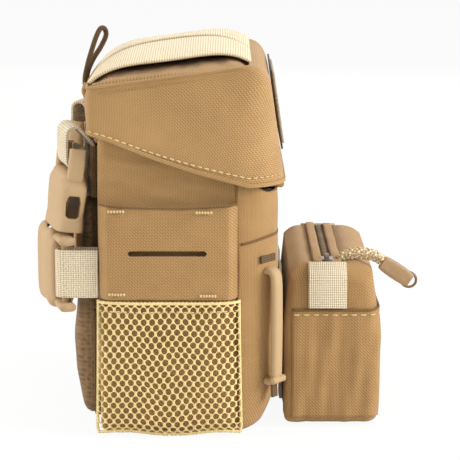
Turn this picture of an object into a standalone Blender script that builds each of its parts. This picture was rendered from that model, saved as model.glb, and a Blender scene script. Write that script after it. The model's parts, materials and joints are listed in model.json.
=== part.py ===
"""Binocular harness pack: a padded chest pack with a forward-opening lid, side pockets, strap buckles
and a zipped accessory pouch clipped to its front.

The frame: the wearer stands on the -X side and looks along +X, +Y is the wearer's left and +Z is up.
The origin is the centre of the base's underside. Every size below is in millimetres times MM.
"""

import math

import bmesh
import bpy
import numpy as np
from mathutils import Matrix, Vector

MM = 0.001

# Clearances
GAP = 0.3 * MM            # between two pieces that are sewn or laid together
SEAM_GAP = 0.4 * MM       # between two panel edges that meet at a seam

# Body of the pack
BACK_X = -38.5 * MM       # wearer's side of the back panel
FRONT_X = 52 * MM         # outer face of the front panel
HALF_WIDTH = 75 * MM      # outer face of a side panel
CORNER_R = 20 * MM        # upright front corners
SHELL = 2 * MM            # laminated fabric wall
FOAM = 5 * MM             # padding behind the walls
FRAME_SHEET = 1.5 * MM    # stiffener in the back
BASE = 2.5 * MM           # base panel
HINGE_Z = 130.9 * MM      # lid hinge line, on the front
HINGE_STRIP = 3.4 * MM    # height of the strip that the lid is sewn to
FRONT_TOP = HINGE_Z - HINGE_STRIP - GAP
BACK_TOP = 168 * MM       # top of the back panel and of the side panels' rear end
SIDE_FRONT_TOP = HINGE_Z + 9 * MM  # top of the side panels' front end

# Lid
LID_WALL = 3.5 * MM       # moulded foam laminate
LID_TOP_THICK = 3 * MM
LID_CLEARANCE = 1 * MM    # between the skirt and the body inside it
LID_HALF_WIDTH = HALF_WIDTH + LID_CLEARANCE + LID_WALL
LID_TOP_HALF_WIDTH = LID_HALF_WIDTH - 1.2 * MM
LID_FRONT_LOW = FRONT_X + 5 * MM   # front face at the hem
LID_FRONT_HIGH = FRONT_X - 4 * MM  # front face at the top
LID_CORNER_LOW = 15 * MM
LID_CORNER_HIGH = 11 * MM
LID_SKIRT_BACK = BACK_X - 5 * MM
LID_BACK_THICK = 3.2 * MM
LID_BACK_HEM = BACK_TOP - 7.5 * MM
LID_HEM_BACK = BACK_TOP - 11 * MM      # side hem at its rear end
LID_HEM_FRONT = HINGE_Z + GAP
LID_HEM_LEVEL_X = FRONT_X - 14 * MM    # from here forward the hem is level
LID_CREST_BACK = BACK_TOP + 13.5 * MM
LID_SLOPE = 0.133         # rise of the top towards the front
LID_FOAM_INSET = 6 * MM

# Bands over the lid
BAND_WIDTH = 64 * MM
BAND_SPLIT = 2.5 * MM     # between the two bands
BAND_THICK = 1.8 * MM
BAND_RISE = 8.5 * MM      # of the arch above the lid

# Front patch field
PATCH_WIDTH = 90 * MM
PATCH_THICK = 1.5 * MM
PATCH_LOW = 15 * MM       # up the front face from the hem
PATCH_HIGH = 56 * MM

# Magnets
MAGNET_WIDTH = 20 * MM
MAGNET_HEIGHT = 10 * MM
MAGNET_SPACING = 60 * MM
LID_MAGNET_THICK = 1.5 * MM
BODY_MAGNET_THICK = 2 * MM

# Back pad
PAD_HALF_WIDTH = HALF_WIDTH - 20 * MM
PAD_THICK = 10.5 * MM
PAD_LOW = 5 * MM
PAD_HIGH = 122 * MM
PAD_ROUND = 4 * MM

# Side pockets
POCKET_ROOM = 5 * MM      # between the side panel and the pocket wall
POCKET_WALL = 1.4 * MM
POCKET_BACK = BACK_X + 0.5 * MM
POCKET_FRONT = FRONT_X - CORNER_R + 0.5 * MM
POCKET_SPLIT = 73 * MM    # laminate panel above, net below
POCKET_TOP = 122.5 * MM
NET_BULGE = 2 * MM        # net stands this much prouder than the laminate
NET_LOW = 0.6 * MM
SLOT_LENGTH = 40 * MM
SLOT_HEIGHT = 2.8 * MM
SLOT_X = -3.2 * MM
SLOT_Z = 97.5 * MM

# Webbing
WEB = 25 * MM
WEB_THICK = 2 * MM
FRONT_ROWS = {"upper": 92 * MM, "lower": 42 * MM}
POUCH_ROWS = {"upper": 67 * MM, "lower": 24 * MM}
ROW_HALF = HALF_WIDTH - 29 * MM
POUCH_STAND = 5 * MM      # between the front panel and the pouch
ROW_THICK = (POUCH_STAND - 3 * GAP) / 2

# Buckles, the socket halves of side-release buckles for 25 mm webbing
BUCKLE_HALF_WIDTH = 20 * MM
BUCKLE_HALF_THICK = 6 * MM
BUCKLE_EAR = 7 * MM       # ears behind the bar
BUCKLE_BODY = 8.5 * MM    # where the body starts, past the bar
BUCKLE_LENGTH = 36 * MM   # mouth, past the bar
BAR_HALF = 1.8 * MM
EAR_THICK = 5 * MM
MOUTH_HALF_WIDTH = 15 * MM
MOUTH_HALF_THICK = 4.2 * MM
MOUTH_DEPTH = 24 * MM
SIDE_WINDOW = 12 * MM

UPPER_BAR = (BACK_X - 15.2 * MM, HALF_WIDTH - 22 * MM, 143 * MM)
UPPER_YAW = math.radians(15)
UPPER_LEAN = math.radians(8)
LOWER_BAR = (BACK_X - 17.5 * MM, HALF_WIDTH - 3.5 * MM, 86 * MM)
LOWER_YAW = math.radians(16)
STRAP_REACH = 9.3 * MM    # from the bar forward to the sewn end of the upper strap
ANCHOR_LOW = 124 * MM
ANCHOR_HIGH = 150 * MM

# Clips that hold the pouch, at the front corners
CLIP_ANGLE = math.radians(38)
CLIP_WIDTH = 8 * MM
CLIP_THICK = 3.2 * MM
CLIP_STAND = 3 * MM
CLIP_LOW = 27 * MM
CLIP_HIGH = 87 * MM

# Accessory pouch
POUCH_BACK = FRONT_X + POUCH_STAND
POUCH_DEPTH = 50 * MM
POUCH_FRONT = POUCH_BACK + POUCH_DEPTH
POUCH_HALF = 60 * MM
POUCH_LOW = 3.5 * MM
POUCH_HIGH = 86 * MM
POUCH_WALL = 1.6 * MM
POUCH_OVERLAY = 1.2 * MM
POUCH_POCKET_HIGH = 65 * MM
ZIP_X = POUCH_BACK + 22.5 * MM
ZIP_HALF = 6 * MM         # half width of the zip opening between the two top flaps
ZIP_THICK = 1.6 * MM
ZIP_MARGIN = 6 * MM       # from the pouch's end to the end of the chain
TAB_WIDTH = 20 * MM
TAB_DROP = 19 * MM
TAB_THICK = 1.4 * MM
SLIDER_LENGTH = 9 * MM
SLIDER_HALF_WIDTH = 4.5 * MM
SLIDER_HEIGHT = 4.5 * MM

# Cords
LOOP_R = 1.4 * MM
PULL_R = 1.5 * MM
PULL_TAB_LENGTH = 19 * MM
PULL_TAB_WIDTH = 9 * MM
PULL_TAB_THICK = 5 * MM
PULL_TAB_TILT = math.radians(-12)
PULL_GRIP_X = 111 * MM    # where the cord enters the grip
PULL_CORD_Z = 2.2 * MM    # cord above the slider's underside

SIDES = (("left", 1), ("right", -1))

TAN = (0.47, 0.29, 0.125)
PALE = (0.66, 0.52, 0.33)
NET = (0.55, 0.43, 0.17)
BROWN = (0.13, 0.08, 0.035)
MOULDED = (0.42, 0.28, 0.14)
FOAM_GREY = (0.2, 0.2, 0.2)
STEEL = (0.6, 0.6, 0.6)


def clear_scene():
    """Removes every object that the file opened with."""
    for old in list(bpy.data.objects):
        bpy.data.objects.remove(old, do_unlink=True)


def finish_object(name, mesh, colour, roughness=0.85, metallic=0.0):
    """Gives the mesh an object and a material of its own."""
    material = bpy.data.materials.new(name)
    material.use_nodes = True
    shader = material.node_tree.nodes["Principled BSDF"]
    shader.inputs["Base Color"].default_value = (*colour, 1)
    shader.inputs["Roughness"].default_value = roughness
    shader.inputs["Metallic"].default_value = metallic
    mesh.materials.append(material)
    piece = bpy.data.objects.new(name, mesh)
    bpy.context.scene.collection.objects.link(piece)
    return piece


def solid(name, rings, colour, roughness=0.85, metallic=0.0):
    """A closed body through rings of points, each ring the same length, with a face on each end."""
    shape = bmesh.new()
    placed = [[shape.verts.new(tuple(map(float, point))) for point in ring] for ring in rings]
    size = len(placed[0])
    for near, far in zip(placed, placed[1:]):
        for i in range(size):
            j = (i + 1) % size
            shape.faces.new((near[i], near[j], far[j], far[i]))
    shape.faces.new(list(reversed(placed[0])))
    shape.faces.new(placed[-1])
    bmesh.ops.recalc_face_normals(shape, faces=shape.faces)
    mesh = bpy.data.meshes.new(name)
    shape.to_mesh(mesh)
    shape.free()
    return finish_object(name, mesh, colour, roughness, metallic)


def box(name, low, high, colour, roughness=0.85, metallic=0.0, rounding=0.0):
    """A box between two corners, its edges rounded where rounding is set."""
    low, high = np.minimum(low, high), np.maximum(low, high)
    ring = [(low[0], low[1]), (high[0], low[1]), (high[0], high[1]), (low[0], high[1])]
    rings = [[(x, y, z) for x, y in ring] for z in (low[2], high[2])]
    piece = solid(name, rings, colour, roughness, metallic)
    if rounding:
        bevel = piece.modifiers.new("rounding", "BEVEL")
        bevel.width = rounding
        bevel.segments = 2
    return piece


def arc(centre, radius, start, end, steps=6):
    """Points on an arc in a plane, from one angle in degrees to another."""
    angles = np.radians(np.linspace(start, end, steps + 1))
    return [(centre[0] + radius * math.cos(a), centre[1] + radius * math.sin(a)) for a in angles]


def offset(path, distance):
    """An open plane path moved sideways, to its left where the distance is positive."""
    path = np.array(path, float)
    runs = np.diff(path, axis=0)
    normals = np.stack([-runs[:, 1], runs[:, 0]], axis=1)
    normals /= np.linalg.norm(normals, axis=1)[:, None]
    corner = np.vstack([normals[:1], normals[:-1] + normals[1:], normals[-1:]])
    corner /= (corner * np.vstack([normals[:1], normals])).sum(axis=1)[:, None]
    return path + distance * corner


def corner_path(front, half_width, radius):
    """Plan outline of a wall that turns both front corners, from the right side to the left."""
    right = arc((front - radius, -half_width + radius), radius, -90, 0)
    left = arc((front - radius, half_width - radius), radius, 0, 90)
    return [*right, *left]


def front_path(front, half_width, radius, rear):
    """The corner path with a straight run back to the rear on each side."""
    return [(rear, -half_width), *corner_path(front, half_width, radius), (rear, half_width)]


def upright_wall(name, path, thickness, low, high, colour):
    """A wall of even height that stands on a plan path, its thickness on the path's left."""
    inner = offset(path, thickness)
    rings = []
    for (x, y), (inner_x, inner_y) in zip(path, inner):
        rings.append([(x, y, low), (x, y, high), (inner_x, inner_y, high), (inner_x, inner_y, low)])
    return solid(name, rings, colour)


def strip(name, path, thickness, place, half_width, colour):
    """Webbing whose centre line is a plane path. place(across, u, v) turns it into a point."""
    one, other = offset(path, thickness / 2), offset(path, -thickness / 2)
    rings = []
    for (a, b), (c, d) in zip(one, other):
        ends = (-half_width, half_width)
        rings.append([place(ends[0], a, b), place(ends[1], a, b), place(ends[1], c, d), place(ends[0], c, d)])
    return solid(name, rings, colour)


def cut(piece, name, low, high, turn=None):
    """Cuts a box out of a piece. turn is the matrix that places the box, where it isn't straight."""
    cutter = box(name, low, high, STEEL)
    if turn is not None:
        cutter.matrix_world = turn
    cutter.hide_render = True
    cutter.display_type = "WIRE"
    modifier = piece.modifiers.new(name, "BOOLEAN")
    modifier.operation = "DIFFERENCE"
    modifier.object = cutter
    return cutter


def build_body():
    """Walls, base, padding and stiffener of the pack's main compartment."""
    plan = corner_path(FRONT_X, HALF_WIDTH, CORNER_R)
    wall_low = BASE + GAP
    upright_wall("front_panel", plan, SHELL, wall_low, FRONT_TOP, TAN)
    base_plan = front_path(FRONT_X, HALF_WIDTH, CORNER_R, BACK_X)
    solid("base_panel", [[(x, y, z) for x, y in base_plan] for z in (0, BASE)], TAN)

    seam_x = FRONT_X - CORNER_R - SEAM_GAP
    rear = BACK_X
    foam_low = wall_low + FOAM + GAP
    for side, sign in SIDES:
        outline = [(rear, wall_low), (seam_x, wall_low), (seam_x, SIDE_FRONT_TOP), (rear, BACK_TOP)]
        faces = [sign * HALF_WIDTH, sign * (HALF_WIDTH - SHELL)]
        solid("side_panel_" + side, [[(x, y, z) for x, z in outline] for y in faces], TAN)
        outline = [
            (rear + SHELL + FRAME_SHEET + 2 * GAP, foam_low),
            (seam_x, foam_low),
            (seam_x, SIDE_FRONT_TOP - SHELL),
            (rear + SHELL + FRAME_SHEET + 2 * GAP, BACK_TOP - 2 * SHELL),
        ]
        faces = [sign * (HALF_WIDTH - SHELL - GAP), sign * (HALF_WIDTH - SHELL - GAP - FOAM)]
        solid("side_foam_" + side, [[(x, y, z) for x, z in outline] for y in faces], FOAM_GREY)

    inside = HALF_WIDTH - SHELL - GAP
    box("back_panel", (rear, -inside, wall_low), (rear + SHELL, inside, BACK_TOP), TAN)
    sheet_x = rear + SHELL + GAP
    box(
        "back_frame_sheet",
        (sheet_x, -inside + GAP, foam_low),
        (sheet_x + FRAME_SHEET, inside - GAP, BACK_TOP - SHELL),
        BROWN,
        0.4,
    )
    foam_plan = front_path(FRONT_X - SHELL - GAP, inside, CORNER_R - SHELL - GAP, rear + SHELL + GAP)
    rings = [[(x, y, z) for x, y in foam_plan] for z in (wall_low, wall_low + FOAM)]
    solid("base_foam", rings, FOAM_GREY)
    foam_half = HALF_WIDTH - CORNER_R
    foam_x = FRONT_X - SHELL - GAP
    box("front_foam", (foam_x - FOAM, -foam_half, foam_low), (foam_x, foam_half, FRONT_TOP), FOAM_GREY)


def build_back():
    """Spacer-net pad, strap anchors and the magnets behind the back panel."""
    face = BACK_X - GAP
    box(
        "back_pad",
        (face - PAD_THICK, -PAD_HALF_WIDTH, PAD_LOW),
        (face, PAD_HALF_WIDTH, PAD_HIGH),
        BROWN,
        0.95,
        rounding=PAD_ROUND,
    )
    magnet_x = BACK_X + SHELL + GAP + FRAME_SHEET + GAP
    top = BACK_TOP - 0.5 * MM
    for side, sign in SIDES:
        middle = sign * MAGNET_SPACING / 2
        box(
            "body_magnet_" + side,
            (magnet_x, middle - MAGNET_WIDTH / 2, top - MAGNET_HEIGHT),
            (magnet_x + BODY_MAGNET_THICK, middle + MAGNET_WIDTH / 2, top),
            STEEL,
            0.3,
            1.0,
        )


def lid_top_z(x):
    """Height of the lid's outer top face."""
    return LID_CREST_BACK + LID_SLOPE * (x - LID_SKIRT_BACK)


def lid_hem_z(x):
    """Height of the skirt's hem: sloping down from the rear, then level towards the front."""
    if x >= LID_HEM_LEVEL_X:
        return LID_HEM_FRONT
    share = (LID_HEM_LEVEL_X - x) / (LID_HEM_LEVEL_X - LID_SKIRT_BACK)
    return LID_HEM_FRONT + share * (LID_HEM_BACK - LID_HEM_FRONT)


def with_stations(path, rear, forward, steps=7):
    """Adds points to both straight ends of a plan path, so that a sloping hem can follow them."""
    xs = np.linspace(rear, forward, steps, endpoint=False)
    right = [(x, path[1][1]) for x in xs]
    left = [(x, path[-2][1]) for x in xs[::-1]]
    return [*right, *path[1:-1], *left]


def build_lid():
    """Skirt, top, back flap, foam, bands, patch field and magnets of the lid."""
    low = with_stations(
        front_path(LID_FRONT_LOW, LID_HALF_WIDTH, LID_CORNER_LOW, LID_SKIRT_BACK),
        LID_SKIRT_BACK,
        LID_FRONT_LOW - LID_CORNER_LOW,
    )
    high = with_stations(
        front_path(LID_FRONT_HIGH, LID_TOP_HALF_WIDTH, LID_CORNER_HIGH, LID_SKIRT_BACK),
        LID_SKIRT_BACK,
        LID_FRONT_HIGH - LID_CORNER_HIGH,
    )
    low_inner, high_inner = offset(low, LID_WALL), offset(high, LID_WALL)
    under = LID_TOP_THICK + GAP
    rings = []
    for a, b, c, d in zip(low, high, high_inner, low_inner):
        rings.append(
            [
                (a[0], a[1], lid_hem_z(a[0])),
                (b[0], b[1], lid_top_z(b[0]) - under),
                (c[0], c[1], lid_top_z(c[0]) - under),
                (d[0], d[1], lid_hem_z(d[0])),
            ]
        )
    solid("lid_skirt", rings, TAN)

    rear = LID_SKIRT_BACK - GAP - LID_BACK_THICK
    plan = front_path(LID_FRONT_HIGH, LID_TOP_HALF_WIDTH, LID_CORNER_HIGH, rear)
    levels = (-LID_TOP_THICK, 0)
    solid("lid_top", [[(x, y, lid_top_z(x) + z) for x, y in plan] for z in levels], TAN)
    outline = [
        (rear, LID_BACK_HEM),
        (rear + LID_BACK_THICK, LID_BACK_HEM),
        (rear + LID_BACK_THICK, lid_top_z(rear + LID_BACK_THICK) - under),
        (rear, lid_top_z(rear) - under),
    ]
    ends = (-LID_TOP_HALF_WIDTH, LID_TOP_HALF_WIDTH)
    solid("lid_back", [[(x, y, z) for x, z in outline] for y in ends], TAN)

    plan = front_path(
        LID_FRONT_HIGH - LID_FOAM_INSET,
        LID_TOP_HALF_WIDTH - LID_FOAM_INSET,
        LID_CORNER_HIGH,
        LID_SKIRT_BACK + LID_FOAM_INSET,
    )
    levels = (-under - FOAM, -under)
    solid("lid_foam", [[(x, y, lid_top_z(x) + z) for x, y in plan] for z in levels], FOAM_GREY)

    magnet_low = LID_BACK_HEM - 1 * MM
    for side, sign in SIDES:
        middle = sign * MAGNET_SPACING / 2
        box(
            "lid_magnet_" + side,
            (LID_SKIRT_BACK, middle - MAGNET_WIDTH / 2, magnet_low),
            (LID_SKIRT_BACK + LID_MAGNET_THICK, middle + MAGNET_WIDTH / 2, magnet_low + MAGNET_HEIGHT),
            STEEL,
            0.3,
            1.0,
        )
    build_bands()
    build_patch()


def build_bands():
    """Two bands that arch over the lid from its rear seam to its front seam."""
    rear, front = LID_SKIRT_BACK + 1 * MM, LID_FRONT_HIGH - 2 * MM
    stations = np.linspace(0, 1, 17)
    path = []
    for share in stations:
        x = rear + share * (front - rear)
        lift = BAND_RISE * (1 - (2 * share - 1) ** 4)
        path.append((x, lid_top_z(x) + GAP + BAND_THICK / 2 + lift))
    for side, sign in SIDES:
        middle = sign * (BAND_WIDTH + BAND_SPLIT) / 2
        strip(
            "stash_band_" + side,
            path,
            BAND_THICK,
            lambda across, x, z, middle=middle: (x, middle + across, z),
            BAND_WIDTH / 2,
            PALE,
        )


def build_patch():
    """A bare field for a badge on the sloping front of the lid."""
    under = LID_TOP_THICK + GAP
    foot = np.array((LID_FRONT_LOW, LID_HEM_FRONT))
    head = np.array((LID_FRONT_HIGH, lid_top_z(LID_FRONT_HIGH) - under))
    along = (head - foot) / np.linalg.norm(head - foot)
    out = np.array((along[1], -along[0]))
    start = foot + along * PATCH_LOW
    end = foot + along * PATCH_HIGH
    near, far = out * GAP, out * (GAP + PATCH_THICK)
    outline = [start + near, start + far, end + far, end + near]
    ends = (-PATCH_WIDTH / 2, PATCH_WIDTH / 2)
    solid("lid_patch", [[(x, y, z) for x, z in outline] for y in ends], BROWN)


def build_side_pockets():
    """Slotted laminate panel above and net tray below, on each side."""
    for side, sign in SIDES:
        inner = HALF_WIDTH + GAP
        outer = HALF_WIDTH + POCKET_ROOM + POCKET_WALL
        # A shallow channel: two returns against the side panel and one flat face.
        plan = [
            (POCKET_BACK, inner),
            (POCKET_BACK, outer),
            (POCKET_FRONT, outer),
            (POCKET_FRONT, inner),
            (POCKET_FRONT - POCKET_WALL, inner),
            (POCKET_FRONT - POCKET_WALL, outer - POCKET_WALL),
            (POCKET_BACK + POCKET_WALL, outer - POCKET_WALL),
            (POCKET_BACK + POCKET_WALL, inner),
        ]
        levels = (POCKET_SPLIT + SEAM_GAP, POCKET_TOP)
        rings = [[(x, sign * y, z) for x, y in plan] for z in levels]
        panel = solid("pocket_panel_" + side, rings, TAN)
        cut(
            panel,
            "slot_cutter_" + side,
            (SLOT_X - SLOT_LENGTH / 2, sign * (outer - 3 * POCKET_WALL), SLOT_Z - SLOT_HEIGHT / 2),
            (SLOT_X + SLOT_LENGTH / 2, sign * (outer + POCKET_WALL), SLOT_Z + SLOT_HEIGHT / 2),
        )
        proud = outer + NET_BULGE
        net = box(
            "mesh_pocket_" + side,
            (POCKET_BACK - NET_BULGE, sign * inner, NET_LOW),
            (POCKET_FRONT + NET_BULGE, sign * proud, POCKET_SPLIT),
            NET,
        )
        cut(
            net,
            "net_cutter_" + side,
            (POCKET_BACK - NET_BULGE + POCKET_WALL, sign * (inner - 2 * MM), NET_LOW + POCKET_WALL),
            (
                POCKET_FRONT + NET_BULGE - POCKET_WALL,
                sign * (proud - POCKET_WALL),
                POCKET_SPLIT + 2 * MM,
            ),
        )


def build_front():
    """Webbing rows, hinge strip and pouch clips on the front panel."""
    for row, middle in FRONT_ROWS.items():
        box(
            "front_webbing_" + row,
            (FRONT_X + GAP, -ROW_HALF, middle - WEB / 2),
            (FRONT_X + GAP + ROW_THICK, ROW_HALF, middle + WEB / 2),
            PALE,
        )
    half = HALF_WIDTH - CORNER_R
    box(
        "lid_hinge_strip",
        (FRONT_X - SHELL, -half, FRONT_TOP + GAP),
        (LID_FRONT_LOW - GAP, half, HINGE_Z),
        TAN,
    )
    corner = np.array((FRONT_X - CORNER_R, HALF_WIDTH - CORNER_R))
    for side, sign in SIDES:
        out = np.array((math.cos(CLIP_ANGLE), math.sin(CLIP_ANGLE)))
        tangent = np.array((-out[1], out[0]))
        near = CORNER_R + GAP + CLIP_THICK / 2
        far = near + CLIP_STAND + CLIP_THICK / 2
        bend = far - near
        top = arc((near, CLIP_HIGH - bend), bend, 90, 0, 5)
        foot = arc((near, CLIP_LOW + bend), bend, 0, -90, 5)
        seat = CORNER_R + GAP
        path = [(seat, CLIP_HIGH), *top[1:], *foot[:-1], (seat, CLIP_LOW)]

        def place(across, reach, z, out=out, tangent=tangent, sign=sign):
            x, y = corner + out * reach + tangent * across
            return (x, sign * y, z)

        strip("clip_" + side, path, CLIP_THICK, place, CLIP_WIDTH / 2, MOULDED)


def buckle_frame(bar, across, along):
    """Matrix that puts a buckle's local axes (across, out, along) at its bar."""
    across = Vector(across).normalized()
    along = Vector(along).normalized()
    out = along.cross(across)
    turn = Matrix((across, out, along)).transposed().to_4x4()
    return Matrix.Translation(bar) @ turn


def build_buckle(name, frame):
    """Socket half: a hollow body with a mouth, side windows and a webbing bar between two ears."""
    wide, thick = BUCKLE_HALF_WIDTH, BUCKLE_HALF_THICK
    rear, start, end = -BUCKLE_EAR, BUCKLE_BODY, BUCKLE_LENGTH
    piece = box(name, (-wide, -thick, rear), (wide, thick, end), MOULDED, 0.45, rounding=1.5 * MM)
    piece.matrix_world = frame
    reach = 5 * MM
    inner = wide - EAR_THICK
    cut(piece, name + "_mouth", (-MOUTH_HALF_WIDTH, -MOUTH_HALF_THICK, end - MOUTH_DEPTH),
        (MOUTH_HALF_WIDTH, MOUTH_HALF_THICK, end + reach), frame)
    window_low = end - MOUTH_DEPTH + 2 * MM
    cut(piece, name + "_windows", (-wide - reach, -MOUTH_HALF_THICK, window_low),
        (wide + reach, MOUTH_HALF_THICK, window_low + SIDE_WINDOW), frame)
    cut(piece, name + "_front_slot", (-inner, -thick - reach, BAR_HALF), (inner, thick + reach, start), frame)
    cut(piece, name + "_rear_slot", (-inner, -thick - reach, rear - reach), (inner, thick + reach, -BAR_HALF), frame)
    for face, low, high in (("top", BAR_HALF, thick + reach), ("under", -thick - reach, -BAR_HALF)):
        cut(piece, name + "_bar_" + face, (-inner, low, -BAR_HALF - GAP), (inner, high, BAR_HALF + GAP), frame)
    return piece


def build_straps():
    """Upper and lower webbing loops and the four buckles that hang on them."""
    for side, sign in SIDES:
        x, y, z = UPPER_BAR
        across = (-math.sin(UPPER_YAW), -sign * math.cos(UPPER_YAW), 0)
        along = (-math.sin(UPPER_LEAN), 0, -math.cos(UPPER_LEAN))
        build_buckle("upper_buckle_" + side, buckle_frame((x, sign * y, z), across, along))

        ring = BAR_HALF * math.sqrt(2) + GAP + WEB_THICK / 2
        hook = arc((0, 0), ring, 0, -180, 8)
        crest = arc((ring - 3.85 * MM, 13.2 * MM), 3.85 * MM, 180, 50, 6)
        path = [(ring, 5 * MM), *hook, *crest, (STRAP_REACH, 8 * MM), (STRAP_REACH, -6 * MM)]

        def upper(distance, u, v, sign=sign):
            yaw = UPPER_YAW
            return (
                UPPER_BAR[0] + u - math.sin(yaw) * distance,
                sign * (UPPER_BAR[1] - math.cos(yaw) * distance),
                UPPER_BAR[2] + v,
            )

        strip("upper_strap_" + side, path, WEB_THICK, upper, WEB / 2, PALE)
        build_anchor(side, sign)

        x, y, z = LOWER_BAR
        along = (-math.sin(LOWER_YAW), -sign * math.cos(LOWER_YAW), 0)
        build_buckle("lower_buckle_" + side, buckle_frame((x, sign * y, z), (0, 0, 1), along))
        fold = arc((0, 0), ring, -90, -270, 8)
        seam = BACK_X - GAP - x
        path = [(seam, -ring), *fold, (seam, ring)]

        def lower(distance, u, v, sign=sign):
            return (LOWER_BAR[0] + u, sign * (LOWER_BAR[1] + v), LOWER_BAR[2] + distance)

        strip("lower_strap_" + side, path, WEB_THICK, lower, WEB / 2, PALE)


def build_anchor(side, sign):
    """Wedge of folded fabric that carries the upper strap off the back panel at its angle."""
    half = WEB / 2 * math.cos(UPPER_YAW)
    skew = WEB / 2 * math.sin(UPPER_YAW)
    face = UPPER_BAR[0] + STRAP_REACH + WEB_THICK / 2 + GAP
    y = UPPER_BAR[1]
    plan = [
        (BACK_X - GAP, y + half),
        (BACK_X - GAP, y - half),
        (face - skew, y - half),
        (face + skew, y + half),
    ]
    rings = [[(px, sign * py, z) for px, py in plan] for z in (ANCHOR_LOW, ANCHOR_HIGH)]
    solid("strap_anchor_" + side, rings, BROWN)


def build_pouch():
    """Accessory pouch: walls, top flaps, zip chain, end tabs, slip pockets and rear webbing."""
    wall = POUCH_WALL
    half = POUCH_HALF
    top = POUCH_HIGH - wall
    inner = half - wall - GAP
    box("pouch_base", (POUCH_BACK, -half, POUCH_LOW), (POUCH_FRONT, half, POUCH_LOW + wall), TAN)
    low = POUCH_LOW + wall + GAP
    box("pouch_back", (POUCH_BACK, -inner, low), (POUCH_BACK + wall, inner, top - GAP), TAN)
    box("pouch_front", (POUCH_FRONT - wall, -inner, low), (POUCH_FRONT, inner, top - GAP), TAN)
    box("pouch_top_rear", (POUCH_BACK, -half, top), (ZIP_X - ZIP_HALF, half, POUCH_HIGH), TAN)
    box("pouch_top_front", (ZIP_X + ZIP_HALF, -half, top), (POUCH_FRONT, half, POUCH_HIGH), TAN)
    chain = half - ZIP_MARGIN
    box(
        "zipper_chain",
        (ZIP_X - ZIP_HALF + GAP, -half, top),
        (ZIP_X + ZIP_HALF - GAP, half, top + ZIP_THICK),
        BROWN,
    )
    for side, sign in SIDES:
        box(
            "pouch_side_" + side,
            (POUCH_BACK, sign * (half - wall), low),
            (POUCH_FRONT, sign * half, top - GAP),
            TAN,
        )
        box(
            "pouch_side_pocket_" + side,
            (POUCH_BACK + wall, sign * (half + GAP), low),
            (POUCH_FRONT - wall, sign * (half + GAP + POUCH_OVERLAY), POUCH_POCKET_HIGH),
            TAN,
        )
        outer = half + GAP + TAB_THICK
        outline = [
            (chain, POUCH_HIGH + GAP),
            (chain, POUCH_HIGH + GAP + TAB_THICK),
            (outer, POUCH_HIGH + GAP + TAB_THICK),
            (outer, POUCH_HIGH - TAB_DROP),
            (half + GAP, POUCH_HIGH - TAB_DROP),
            (half + GAP, POUCH_HIGH + GAP),
        ]
        ends = (ZIP_X - TAB_WIDTH / 2, ZIP_X + TAB_WIDTH / 2)
        solid("zip_end_tab_" + side, [[(x, sign * y, z) for y, z in outline] for x in ends], PALE)
    pocket_half = inner - 2 * MM
    box(
        "pouch_front_pocket",
        (POUCH_FRONT + GAP, -pocket_half, low),
        (POUCH_FRONT + GAP + POUCH_OVERLAY, pocket_half, POUCH_POCKET_HIGH),
        TAN,
    )
    for row, middle in POUCH_ROWS.items():
        box(
            "pouch_webbing_" + row,
            (POUCH_BACK - GAP - ROW_THICK, -ROW_HALF, middle - WEB / 2),
            (POUCH_BACK - GAP, ROW_HALF, middle + WEB / 2),
            PALE,
        )
    build_zip_pull()


def smooth_route(points, spacing):
    """A Catmull-Rom curve through hand-picked points, read at even spacing."""
    points = np.array(points, float)
    padded = np.vstack([2 * points[0] - points[1], points, 2 * points[-1] - points[-2]])
    share = np.linspace(0, 1, 20, endpoint=False)[:, None]
    runs = []
    for a, b, c, d in zip(padded, padded[1:], padded[2:], padded[3:]):
        runs.append(
            0.5
            * (
                2 * b
                + (c - a) * share
                + (2 * a - 5 * b + 4 * c - d) * share**2
                + (3 * b - a - 3 * c + d) * share**3
            )
        )
    fine = np.vstack([*runs, points[-1:]])
    length = np.concatenate([[0], np.cumsum(np.linalg.norm(np.diff(fine, axis=0), axis=1))])
    stations = np.linspace(0, length[-1], max(2, round(length[-1] / spacing)) + 1)
    return np.stack([np.interp(stations, length, fine[:, i]) for i in range(3)], axis=1)


def cord(name, points, radius, colour):
    """A round cord along a smooth route, with closed ends."""
    route = smooth_route(points, 2.2 * radius)
    data = bpy.data.curves.new(name, "CURVE")
    data.dimensions = "3D"
    data.bevel_depth = radius
    data.bevel_resolution = 2
    data.use_fill_caps = True
    spline = data.splines.new("POLY")
    spline.points.add(len(route) - 1)
    for point, place in zip(spline.points, route):
        point.co = (*place, 1)
    piece = bpy.data.objects.new(name, data)
    material = bpy.data.materials.new(name)
    material.use_nodes = True
    shader = material.node_tree.nodes["Principled BSDF"]
    shader.inputs["Base Color"].default_value = (*colour, 1)
    shader.inputs["Roughness"].default_value = 0.9
    data.materials.append(material)
    bpy.context.scene.collection.objects.link(piece)
    return piece


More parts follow.
